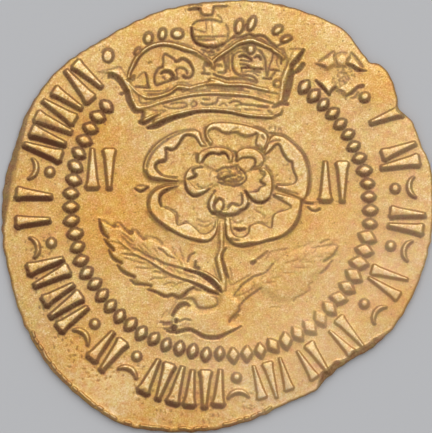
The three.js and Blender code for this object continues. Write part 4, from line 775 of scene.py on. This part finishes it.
for angle, strokes in STROKE_ROWS:
    faint = LOZENGE_TO < angle < LOZENGE_FROM
    grimy_and_shaded = SHADE_AND_GRIME_TO < angle < SHADE_AND_GRIME_FROM
    foot, shade_and_dirt = FAINT_SIDES if faint else GRIMY_SHADED_SIDES if grimy_and_shaded else PLAIN_SIDES
    for n in range(strokes):
        turn = angle + STROKE_APART * (n - (strokes - 1) / 2)
        long = STROKE_LONG * random.uniform(0.88, 1.06)
        place = RING_CENTRE + polar(turn, ROW_RADIUS - FAINT_INWARD * faint + random.normal(0, 0.05))
        nail(place, turn + random.normal(0, 3), long, n % 2 == 0, foot=foot, shade_and_dirt=shade_and_dirt)
STOP_RADIUS, CRESCENT_RADIUS = 8.2, 9.4
for angle in ROUND_STOPS:
    stop = oval(RING_CENTRE + polar(angle, STOP_RADIUS), (0.26, 0.26), count=12)
    raise_form(stop, foot=0.04, shoulder=0.18, shade_and_dirt=0.85, fall=0.15)
    bow = RING_CENTRE + polar(angle, CRESCENT_RADIUS) + polar(angle + 180 + np.linspace(-58, 58, 13), 0.55)
    raise_line(bow, taper(13, 0.04, 0.1, 0.11, 0.1, 0.04), 0.8)
FIRST_STOP = oval((6.95, 5.66), (0.24, 0.22), 30)
raise_form(FIRST_STOP, 0.9, foot=0.07, shoulder=0.14)
ROSETTE_RAYS = [
    [(4.72, 7.2), (5.45, 7.72), (5.6, 7.2), (5.2, 6.95)],
    [(5.56, 7.5), (5.85, 7.68), (6.2, 7.55), (6.05, 7.1), (5.62, 7.1)],
    [(6.3, 7.66), (6.95, 6.9), (6.5, 7.0), (6.1, 7.2)],
    [(4.7, 6.4), (5.25, 5.76), (5.5, 6.1), (5.4, 6.5)],
    [(5.55, 6.0), (5.85, 5.88), (6.05, 5.66), (6.5, 6.05), (6.2, 6.4)],
]
for ray in ROSETTE_RAYS:
    raise_form(np.array(ray), 0.55, shoulder=0.12, shade_and_dirt=0.3)
ROSETTE_CUTS = [
    (0.7, (0.03,), [(4.76, 7.28), (5.1, 7.5), (5.45, 7.76), (5.56, 7.64)]),
    (0.8, (0.03, 0.06), [(4.65, 7.16), (4.85, 7.1), (5.08, 7.02)]),
    (0.62, (0.03,), [(5.54, 7.55), (5.56, 7.35), (5.66, 7.12)]),
    (0.55, (0.03,), [(5.5, 7.56), (5.8, 7.7), (6.1, 7.68)]),
    (0.7, (0.03,), [(6.3, 7.68), (6.2, 7.45), (6.08, 7.2)]),
    (0.7, (0.04,), [(6.34, 7.68), (6.6, 7.4), (6.85, 7.05)]),
    (1.0, (0.06, 0.08, 0.09, 0.03), [(6.12, 7.14), (6.35, 7.06), (6.6, 6.88), (7.0, 6.83)]),
    (1.0, (0.06, 0.09, 0.06), [(4.66, 6.36), (4.95, 6.08), (5.26, 5.7)]),
    (0.95, (0.05, 0.07), [(5.28, 5.72), (5.42, 5.94), (5.56, 6.06)]),
    (0.7, (0.03,), [(5.6, 6.04), (5.85, 5.92), (6.0, 5.84), (6.06, 5.5)]),
    (0.85, (0.05, 0.07, 0.08), [(6.1, 5.66), (6.35, 5.8), (6.6, 6.05), (6.85, 6.12)]),
    (0.45, (0.06, 0.03), [(6.6, 5.8), (6.5, 5.58), (6.3, 5.55)]),
]
engrave(ROSETTE_CUTS)
ROSETTE_CENTRE = (6.0, 6.6)
pits(ROSETTE_CENTRE, (0.24, 0.28), 60, 0.7)
SIDE_MARKS = [(-5.45, 2.3), (5.5, 1.7)]
SIDE_APART, SIDE_LONG = 0.8, 1.8
for x, y in SIDE_MARKS:
    for side in (-1, 1):
        nail(np.array((x + SIDE_APART / 2 * side, y)), 90, SIDE_LONG, side > 0)

# Wear. The high points are rubbed down and a few patches, such as the rosette, the right leaf and the lower
# right beads, are almost flat. The edge, the steep sides and the hollows are painted brown, partly as dirt
# and partly as painted shade, the edge most where the rim slopes away on the left and at the clip, and the
# lower edge has a row of small burrs.
EDGE_BANDS = [  # clock angle, the width in mm of the brown band painted along the edge there, partly dirt and partly painted shade, and how brown it is
    (0, 0.03, 0.2), (25, 0.04, 0.35), (45, 0.06, 0.55), (60, 0.06, 0.65), (145, 0.07, 0.65),
    (152, 0.16, 0.58), (160, 0.34, 0.54), (170, 0.42, 0.54), (178, 0.34, 0.54), (184, 0.1, 0.6),
    (200, 0.05, 0.5), (225, 0.05, 0.7), (240, 0.06, 0.8), (262, 0.13, 0.8), (275, 0.1, 0.75),
    (285, 0.06, 0.6), (300, 0.08, 0.6), (304, 0.34, 0.78), (309, 0.32, 0.78), (312, 0.14, 0.6),
    (315, 0.3, 0.76), (322, 0.24, 0.72), (326, 0.06, 0.5), (342, 0.04, 0.35),
]
for (from_angle, from_width, from_brown), (to_angle, to_width, to_brown) in zip(EDGE_BANDS, EDGE_BANDS[1:]):
    bow = np.linspace(from_angle, to_angle, 2 + int(to_angle - from_angle) // 3)
    halves = np.linspace(from_width, to_width, len(bow)) / 2
    engrave([((from_brown + to_brown) / 2, halves, polar(bow, edge_radius(bow) - halves))], depth=0.15)
EDGE_BURRS = np.arange(212, 292, 2.0)
EDGE_BURRS_KEPT = 0.75
for angle in EDGE_BURRS[random.random(len(EDGE_BURRS)) < EDGE_BURRS_KEPT]:
    bow = angle + np.linspace(0, random.uniform(0.8, 1.9), 4)
    raise_line(polar(bow, edge_radius(bow) - random.uniform(0.17, 0.21)), 0.05, foot=0.04, shade_and_dirt=0.9)
GRIT_ANGLES = np.linspace(188, 284, 33)  # about the strokes at the lower left
for angle in GRIT_ANGLES:
    pits(polar(angle, random.uniform(7.9, 9.6)), (0.3, 0.3), 7, 0.7)
WORN_PATCHES = [
    ((6.0, 7.0), 1.3, 0.15), ((4.0, -2.7), 1.6, 0.3), ((4.6, -4.8), 1.4, 0.35), ((6.5, -5.5), 1.4, 0.3),
    ((0.3, 8.7), 0.6, 0.3), ((2.6, -7.6), 1.2, 0.25), ((2.6, 5.4), 0.7, 0.3),
]
for place, reach, loss in WORN_PATCHES:
    obverse *= 1 - loss * np.exp(-((die_x - place[0]) ** 2 + (die_y - place[1]) ** 2) / reach ** 2)


def soften(field, size):
    """A field blurred by a Gaussian of the given size in mm."""
    wave_y = np.fft.fftfreq(cells, CELL)[:, None]
    wave_x = np.fft.rfftfreq(cells, CELL)[None, :]
    keep = np.exp(-2 * (math.pi * size) ** 2 * (wave_x ** 2 + wave_y ** 2))
    return np.fft.irfft2(np.fft.rfft2(field) * keep, s=field.shape)


def grain(size, height):
    """An even roughness with bumps of the given size and height in mm."""
    field = soften(random.normal(size=(cells, cells)), size)
    return height * field / field.std()


# How much steep sides and the hollows beside tall forms are painted darker, as dirt and painted shade, and
# how much ridges and tops are painted brighter, as rubbed wear and painted highlight.
STEEP_TONE, HOLLOW_TONE, HOLLOW_REACH, DARKEST = 0.3, 0.2, 0.2, 1.25
RIDGE_SHINE, TOP_SHINE, RIDGE_REACH = 1.7, 0.15, 0.16


def toning_and_shade(heights, darkening):
    """How brown each cell is painted: the bands up the forms' sides, and the other steep sides and the
    hollows beside tall forms, each partly dirt and partly painted shade.
    """
    slope_y, slope_x = np.gradient(heights, CELL)
    steep = np.hypot(slope_x, slope_y).clip(0, 1)
    hollow = (soften(heights, HOLLOW_REACH) - heights).clip(0, None) / RELIEF
    return (np.maximum(darkening, STEEP_TONE * steep) + HOLLOW_TONE * hollow).clip(0, DARKEST)


def polish_and_highlight(heights):
    """How bright each cell is painted, from 0 to 1, on tops and ridges: rubbed wear, and painted highlight
    along the shoulders.
    """
    ridge = heights - soften(heights, RIDGE_REACH)
    return ((RIDGE_SHINE * ridge + TOP_SHINE * heights) / RELIEF).clip(0, 1)


FORM_BLUR, DARKENING_BLUR = 0.02, 0.014
FLAN_WAVE = (0.7, 0.006)  # the hammered blank's unevenness, its reach and height in mm
obverse_height = soften(obverse[0], FORM_BLUR)
obverse_brown = toning_and_shade(obverse_height, soften(obverse[1], DARKENING_BLUR))
obverse_polish_and_highlight = polish_and_highlight(obverse_height)
obverse_height = np.minimum(obverse_height + grain(*FLAN_WAVE), RELIEF)

# The reverse die. The side that the coin lies on is struck more plainly, with a raised circle, single strokes
# outside it and a thistle with two leaves inside, all in low relief of one height.
REVERSE_FIELD = 0.07
REVERSE_RELIEF, LEAF_RELIEF = 0.58, 0.45
REVERSE_STROKES, THISTLE_AWNS = 26, 7
reverse = np.zeros((2, cells, cells))
circle = oval((0.0, 0.0), (7.0, 7.0), count=120)
raise_line(np.vstack([circle, circle[:1]]), 0.13, REVERSE_RELIEF, die=reverse)
for n in range(REVERSE_STROKES):
    turn = 360 * n / REVERSE_STROKES
    nail(polar(turn, 8.5), turn, 1.4, n % 2 > 0, REVERSE_RELIEF, die=reverse)
for n in range(THISTLE_AWNS):
    turn = 90 + 15 * (n - THISTLE_AWNS // 2)
    nail(np.array((0, 0.3)) + polar(turn, 2.5), turn, 1.5, False, REVERSE_RELIEF, die=reverse)
raise_form(oval((0.0, 0.0), (1.5, 1.35), count=48), REVERSE_RELIEF, die=reverse)
THISTLE_STALK = smooth([(0, -1.2), (0.1, -2.6), (-0.15, -4.2), (-0.5, -5.2)])
raise_line(THISTLE_STALK, taper(len(THISTLE_STALK), 0.22, 0.2, 0.24, 0.34), REVERSE_RELIEF, die=reverse)
THISTLE_LEAF = [
    (0.15, -4.0), (1.2, -3.9), (2.6, -3.1), (4.0, -2.2), (5.2, -0.9), (3.6, -1.2), (2.2, -1.9), (0.9, -3.0),
]
THISTLE_RIB = [(0.2, -3.95), (2.4, -2.5), (4.6, -1.2)]
for side in (-1, 1):
    leaf, rib = np.array(THISTLE_LEAF) * (side, 1), np.array(THISTLE_RIB) * (side, 1)
    raise_form(smooth(leaf, closed=True), LEAF_RELIEF, shoulder=0.2, die=reverse)
    raise_line(smooth(rib), 0.09, REVERSE_RELIEF, die=reverse)
REVERSE_BLUR, REVERSE_DARKENING_BLUR = 0.06, 0.02
reverse_height = soften(reverse[0], REVERSE_BLUR)
reverse_brown = toning_and_shade(reverse_height, soften(reverse[1], REVERSE_DARKENING_BLUR))
reverse_polish_and_highlight = polish_and_highlight(reverse_height)

# Striking the coin. A square sheet for each face, the two joined round their borders, is drawn out to the
# flan's outline, its edge rounded and rubbed to a slope on the left, and takes the heights of its die. The
# mesh is then thinned where it is flat, and every point is told how brown, bright, pale or red it is: the
# brown is partly dirt and partly painted shade, the brightness rubbed wear and painted highlight, the pallor
# a painted sheen.
MM = 0.001
OBVERSE_FIELD = 0.385
RIM_THINNING, RIM_CURVE = 0.05, 12  # how much thinner in mm the rim is, and how late that sets in
OBVERSE_RUNOUT, REVERSE_RUNOUT = 200, 40  # how near the rim the relief runs out
RESTING_ROOM = 0.002
EDGE_ROUND = 0.09
SLOPE_ANGLE, SLOPE_SPREAD, SLOPE_WIDTH = 170, 10, 0.5
EDGE_FADE = 0.05
SHEET_STEPS = 600
EDGE_CUTS = 5
TRIANGLES = 190_000
sheet = bmesh.new()
for z in (0, 1):
    bmesh.ops.create_grid(sheet, x_segments=SHEET_STEPS, y_segments=SHEET_STEPS, size=1.0,
                          matrix=Matrix.Translation((0, 0, z)))
# The borders are bridged because an extrusion would number its edges differently in each run.
bmesh.ops.bridge_loops(sheet, edges=[e for e in sheet.edges if e.is_boundary])
uprights = [e for e in sheet.edges if abs(e.verts[0].co.z - e.verts[1].co.z) > 0.5]
bmesh.ops.subdivide_edges(sheet, edges=uprights, cuts=EDGE_CUTS, use_grid_fill=True)
bmesh.ops.recalc_face_normals(sheet, faces=sheet.faces[:])
coin_mesh = bpy.data.meshes.new("gold_coin_struck")
sheet.to_mesh(coin_mesh)
sheet.free()

count = len(coin_mesh.vertices)
places = np.empty(count * 3)
coin_mesh.vertices.foreach_get("co", places)
u, v, level = places.reshape(-1, 3).T
disc = np.stack([u * np.sqrt(1 - v * v / 2), v * np.sqrt(1 - u * u / 2)], axis=-1)
share = np.hypot(*disc.T)
angle = np.degrees(np.arctan2(disc[:, 1], disc[:, 0]))
turn_from_slope = (angle - SLOPE_ANGLE + 180) % 360 - 180
rubbed = SLOPE_WIDTH * np.exp(-((turn_from_slope / SLOPE_SPREAD) ** 2)) * level
rounding = EDGE_ROUND * (1 - np.sqrt((1 - (2 * level - 1) ** 2).clip(0, 1)))
radius = share * (edge_radius(angle) - rubbed - rounding)
flat = polar(angle, radius)


def sample(field, at):
    """A field's values at points in mm, between its cells."""
    place = (at + DIE_HALF) / (2 * DIE_HALF) * (cells - 1)
    low = np.floor(place).astype(int).clip(0, cells - 2)
    right, up = (place - low).T
    col, row = low.T
    lower = field[row, col] * (1 - right) + field[row, col + 1] * right
    upper = field[row + 1, col] * (1 - right) + field[row + 1, col + 1] * right
    return lower * (1 - up) + upper * up


near_rim = (share ** RIM_CURVE) * RIM_THINNING
top = OBVERSE_FIELD - near_rim + sample(obverse_height, flat) * (1 - share ** OBVERSE_RUNOUT)
mirrored = flat * (-1, 1)
reverse_rise = sample(reverse_height, mirrored) * (1 - share ** REVERSE_RUNOUT)
bottom = REVERSE_FIELD + near_rim - np.minimum(reverse_rise, REVERSE_FIELD - RESTING_ROOM)
height = bottom + (top - bottom) * level
coin_places = np.column_stack([flat - edge_middle, height]) * MM
coin_mesh.vertices.foreach_set("co", coin_places.ravel())
coin_mesh.update()

coin = bpy.data.objects.new("gold_coin_struck", coin_mesh)
bpy.context.scene.collection.objects.link(coin)
thin = coin.modifiers.new("thin", "DECIMATE")
thin.ratio = TRIANGLES / (2 * len(coin_mesh.polygons))
evaluated = coin.evaluated_get(bpy.context.evaluated_depsgraph_get())
struck_mesh = bpy.data.meshes.new_from_object(evaluated)
coin.modifiers.clear()
coin.data = struck_mesh
coin.data.name = "gold_coin_struck_mesh"
struck_mesh.shade_smooth()

count = len(struck_mesh.vertices)
places = np.empty(count * 3)
struck_mesh.vertices.foreach_get("co", places)
x, y, z = places.reshape(-1, 3).T / MM
on_die = np.stack([x, y], axis=-1) + edge_middle
angle = np.degrees(np.arctan2(on_die[:, 1], on_die[:, 0]))
inset = edge_radius(angle) - np.hypot(*on_die.T)
upper = z > (OBVERSE_FIELD + REVERSE_FIELD) / 2
# The brown band painted along the edge on both faces, partly dirt and partly painted shade; it keeps the
# brightening and sheen off the edge.
band_angle, band_width, band_brown = np.array(EDGE_BANDS, float).T
side = ((np.interp(angle, band_angle, band_width, period=360) - inset) / EDGE_FADE).clip(0, 1)
mirrored = on_die * (-1, 1)
brown = np.where(upper, sample(obverse_brown, on_die), sample(reverse_brown, mirrored))
bright = np.where(upper, sample(obverse_polish_and_highlight, on_die), sample(reverse_polish_and_highlight, mirrored))
brown = np.maximum(brown, side * np.interp(angle, band_angle, band_brown, period=360))
# A painted sheen, as of light glancing across the right and lower right, making the gold paler there.
SHEEN_SPARES = 0.3  # how far the painted sheen keeps off the brown
SHEEN_PATCHES = [  # each a place and reach in mm and a strength
    ((8.2, -2.5), 4.4, 1.0), ((5.0, -7.0), 3.4, 1.0), ((9.0, 3.0), 2.6, 0.6), ((1.5, -8.0), 3.2, 0.85),
    ((-5.6, -8.2), 2.0, 0.35),
]
BLUSH_PATCHES = [
    ((-1.2, -9.9), 1.7, 0.6), ((7.7, 6.2), 1.1, 0.6), ((8.8, -4.0), 1.0, 0.5), ((-7.5, 1.0), 3.5, 0.25),
    ((-5.3, 3.6), 1.3, 0.4), ((-4.6, -0.1), 2.2, 0.72), ((5.4, 0.2), 1.8, 0.45), ((1.3, -4.4), 1.3, 0.4),
    ((-6.0, -6.2), 2.0, 0.4), ((-5.4, -8.6), 1.6, 0.35), ((-3.7, -9.4), 1.2, 0.55),
]
RUBBED_PATCHES = [((-5.4, -8.4), 2.2, 0.7), ((1.8, -8.6), 2.4, 0.5), ((5.6, -6.0), 1.6, 0.4)]


def patches(places_and_sizes):
    """How strong some soft round patches are at each point of the obverse."""
    found = np.zeros(count)
    for place, reach, strength in places_and_sizes:
        found = np.maximum(found, strength * np.exp(-((on_die - place) ** 2).sum(1) / reach ** 2) * upper)
    return found


looks = {
    "toning_and_shade": brown,
    "polish_and_highlight": (bright + patches(RUBBED_PATCHES)) * (1 - side),
    "painted_sheen": patches(SHEEN_PATCHES) * (1 - side) * (1 - SHEEN_SPARES * brown),
    "blush": patches(BLUSH_PATCHES),
}
for name, values in looks.items():
    layer = struck_mesh.attributes.new(name, "FLOAT", "POINT")
    layer.data.foreach_set("value", values.astype(np.float32))


# The gold. Struck 22-carat gold, satin from handling and a little redder than pure gold: brown deposits and
# painted shade fill the steep sides and hollows, the high points are rubbed bright and carry painted
# highlights, and the lower right carries a painted pale sheen.
def linear(code):
    """An sRGB hex colour as linear red, green, blue and a full alpha."""
    parts = [int(code[i:i + 2], 16) / 255 for i in (1, 3, 5)]
    return [c / 12.92 if c <= 0.04045 else ((c + 0.055) / 1.055) ** 2.4 for c in parts] + [1.0]


def node(tree, kind, inputs=(), **settings):
    """Adds a node to a tree; inputs maps a socket to a value or to another node's output."""
    made = tree.nodes.new(kind)
    for name, value in settings.items():
        setattr(made, name, value)
    for socket, value in dict(inputs).items():
        if isinstance(value, bpy.types.NodeSocket):
            tree.links.new(value, made.inputs[socket])
        else:
            made.inputs[socket].default_value = value
    return made


def ramp_stops(ramp, stops):
    """Sets a colour ramp's stops from (place, hex colour) pairs."""
    elements = ramp.color_ramp.elements
    while len(elements) < len(stops):
        elements.new(0.5)
    for element, (place, code) in zip(elements, stops):
        element.position = place
        element.color = linear(code)


gold = bpy.data.materials.new("struck_gold")
gold.use_nodes = True
tree = gold.node_tree
shader = tree.nodes["Principled BSDF"]
where = node(tree, "ShaderNodeTexCoord").outputs["Object"]
toned_and_shaded = node(tree, "ShaderNodeAttribute", attribute_name="toning_and_shade").outputs["Fac"]
rubbed_and_highlit = node(tree, "ShaderNodeAttribute", attribute_name="polish_and_highlight").outputs["Fac"]
sheen = node(tree, "ShaderNodeAttribute", attribute_name="painted_sheen").outputs["Fac"]
blushed = node(tree, "ShaderNodeAttribute", attribute_name="blush").outputs["Fac"]
GRAIN_MM, FLECK_MM, MOTTLE_MM, CLOUD_MM = 0.075, 0.13, 0.36, 2.5  # the finest as coarse as a pixel shows
GRAIN_DEPTH, MOTTLE_DEPTH, FLECK_DEPTH, DARKENING_DEPTH, SHINE_DEPTH = 0.8, 0.44, 0.3, 0.72, -0.18
FIELD_TONE = 0.2
GOLD_TONES = [  # from rubbed bright and painted highlight through the field to the darkest dirt and painted shade
    (0.0, "#fde8ba"), (0.2, "#e7bd78"), (0.35, "#d2aa6f"), (0.6, "#ac8a61"), (0.8, "#926d44"),
    (1.0, "#684124"),
]
CLOUD_TINT, SHEEN_GOLD, RED_TINT = linear("#fbeed2"), linear("#edc596"), linear("#ffe2a6")
SHEEN_SHARE, MOTTLE_TINT = 0.5, 0.3
NOISES = [(FLECK_MM, 1.0, 0.5), (GRAIN_MM, 3.0, 0.65), (MOTTLE_MM, 4.0, 0.65), (CLOUD_MM, 3.0, 0.6)]
flecks, grains, mottle, cloud = [
    node(tree, "ShaderNodeTexNoise", {"Vector": where, "Scale": 1 / (size * MM), "Detail": detail,
                                      "Roughness": rough})
    for size, detail, rough in NOISES
]
speckle = node(tree, "ShaderNodeMath", {0: grains.outputs["Fac"], 1: GRAIN_DEPTH, 2: -GRAIN_DEPTH / 2},
               operation="MULTIPLY_ADD")
blotch = node(tree, "ShaderNodeMath", {0: mottle.outputs["Fac"], 1: MOTTLE_DEPTH, 2: speckle.outputs[0]},
              operation="MULTIPLY_ADD")
specks = node(tree, "ShaderNodeMapRange", {"Value": flecks.outputs["Fac"], "From Min": 0.64, "From Max": 0.8,
                                           "To Min": 0.0, "To Max": FLECK_DEPTH})
speckled = node(tree, "ShaderNodeMath", {0: blotch.outputs[0], 1: specks.outputs[0]}, operation="ADD")
darkened = node(tree, "ShaderNodeMath", {0: toned_and_shaded, 1: DARKENING_DEPTH, 2: speckled.outputs[0]},
             operation="MULTIPLY_ADD")
# The rubbed wear and the painted highlight lighten the tone.
rubbed = node(tree, "ShaderNodeMath", {0: rubbed_and_highlit, 1: SHINE_DEPTH, 2: darkened.outputs[0]},
              operation="MULTIPLY_ADD")
level_tone = node(tree, "ShaderNodeMath", {0: rubbed.outputs[0], 1: FIELD_TONE - MOTTLE_DEPTH / 2},
                  operation="ADD", use_clamp=True)
tones = node(tree, "ShaderNodeValToRGB", {"Fac": level_tone.outputs[0]})
ramp_stops(tones, GOLD_TONES)
warmth = node(tree, "ShaderNodeMapRange", {"Value": cloud.outputs["Fac"], "From Min": 0.4, "From Max": 0.7})
warm = node(tree, "ShaderNodeMix", {"Factor": warmth.outputs[0], 6: tones.outputs["Color"], 7: CLOUD_TINT},
            data_type="RGBA", blend_type="MULTIPLY")
# The painted sheen mixes the colour towards a pale gold.
sheen_strength = node(tree, "ShaderNodeMath", {0: sheen, 1: SHEEN_SHARE}, operation="MULTIPLY")
sheened = node(tree, "ShaderNodeMix", {"Factor": sheen_strength.outputs[0], 6: warm.outputs[2], 7: SHEEN_GOLD},
             data_type="RGBA")
reddened = node(tree, "ShaderNodeMix", {"Factor": blushed, 6: sheened.outputs[2], 7: RED_TINT},
                data_type="RGBA", blend_type="MULTIPLY")
mottled = mottle.outputs["Color"]
tinted = node(tree, "ShaderNodeMix", {"Factor": MOTTLE_TINT, 6: reddened.outputs[2], 7: mottled},
              data_type="RGBA", blend_type="OVERLAY")
tree.links.new(tinted.outputs[2], shader.inputs["Base Color"])
# Where the tone is dark, from dirt and painted shade, it is dull and hardly metallic; the rubbed gold is
# satin.
metal = node(tree, "ShaderNodeMapRange", {"Value": level_tone.outputs[0], "From Min": 0.35, "From Max": 0.8,
                                          "To Min": 1.0, "To Max": 0.2})
tree.links.new(metal.outputs[0], shader.inputs["Metallic"])
dull = node(tree, "ShaderNodeMapRange", {"Value": level_tone.outputs[0], "From Min": 0.0, "From Max": 1.0,
                                         "To Min": 0.38, "To Max": 0.75})
tree.links.new(dull.outputs[0], shader.inputs["Roughness"])
GRAIN_HEIGHT_MM, GRAIN_STRENGTH = 0.012, 0.5
bump = node(tree, "ShaderNodeBump", {"Height": grains.outputs["Fac"], "Strength": GRAIN_STRENGTH,
                                     "Distance": GRAIN_HEIGHT_MM * MM})
tree.links.new(bump.outputs["Normal"], shader.inputs["Normal"])
struck_mesh.materials.append(gold)
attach(coin, "root")
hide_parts("gold_coin")

# The floor. A plain sheet of pale grey board that the coin lies on, much wider than the frame. Its surface is
# even and matt, so it shows the coin's soft shadow and no reflection.
FLOOR_HALF = 0.6
floor_shape = bmesh.new()
bmesh.ops.create_grid(floor_shape, x_segments=1, y_segments=1, size=FLOOR_HALF)
floor_mesh = bpy.data.meshes.new("floor")
floor_shape.to_mesh(floor_mesh)
floor_shape.free()
floor = bpy.data.objects.new("floor", floor_mesh)
bpy.context.scene.collection.objects.link(floor)
board = bpy.data.materials.new("pale_board")
board.use_nodes = True
board_shader = board.node_tree.nodes["Principled BSDF"]
board_shader.inputs["Base Color"].default_value = linear("#d0d1d4")
board_shader.inputs["Roughness"].default_value = 0.9
floor_mesh.materials.append(board)

# The light. One broad soft lamp above the coin's upper edge, as on a copy stand, so that lower sides lie in
# shade, and a weak even fill from all round.
LAMP_PLACE = Vector((0.08, 0.28, 0.5))
LAMP_SIDE = 0.7
LAMP_POWER = 1.92
FILL = 0.4
lamp = bpy.data.objects.new("key", bpy.data.lights.new("key", "AREA"))
lamp.data.shape = "SQUARE"
lamp.data.size = LAMP_SIDE
lamp.data.energy = LAMP_POWER
lamp.location = LAMP_PLACE
lamp.rotation_euler = (-LAMP_PLACE).to_track_quat("-Z", "Y").to_euler()
bpy.context.scene.collection.objects.link(lamp)
world = bpy.data.worlds.new("studio")
world.use_nodes = True
world.node_tree.nodes["Background"].inputs["Color"].default_value = (1.0, 1.0, 1.0, 1.0)
world.node_tree.nodes["Background"].inputs["Strength"].default_value = FILL
bpy.context.scene.world = world
bpy.context.scene.view_settings.view_transform = "Standard"

# The camera. It looks straight down from a copy stand, with the crown at the top of the frame, and its lens
# fits one pixel of the photograph to PIXEL mm at the height of the field.
PHOTO_WIDTH = 432
PIXEL = 0.047
CAMERA_HEIGHT = 0.4
SENSOR = 36.0
FRAME_CENTRE = np.array((-PIXEL, 0.0)) - edge_middle
camera = bpy.data.objects.new("camera", bpy.data.cameras.new("camera"))
camera.data.sensor_fit = "HORIZONTAL"
camera.data.sensor_width = SENSOR
camera.data.lens = SENSOR * (CAMERA_HEIGHT - OBVERSE_FIELD * MM) / (PHOTO_WIDTH * PIXEL * MM)
camera.data.clip_start = 0.01
camera.location = (*(FRAME_CENTRE * MM), CAMERA_HEIGHT)
bpy.context.scene.collection.objects.link(camera)
bpy.context.scene.camera = camera
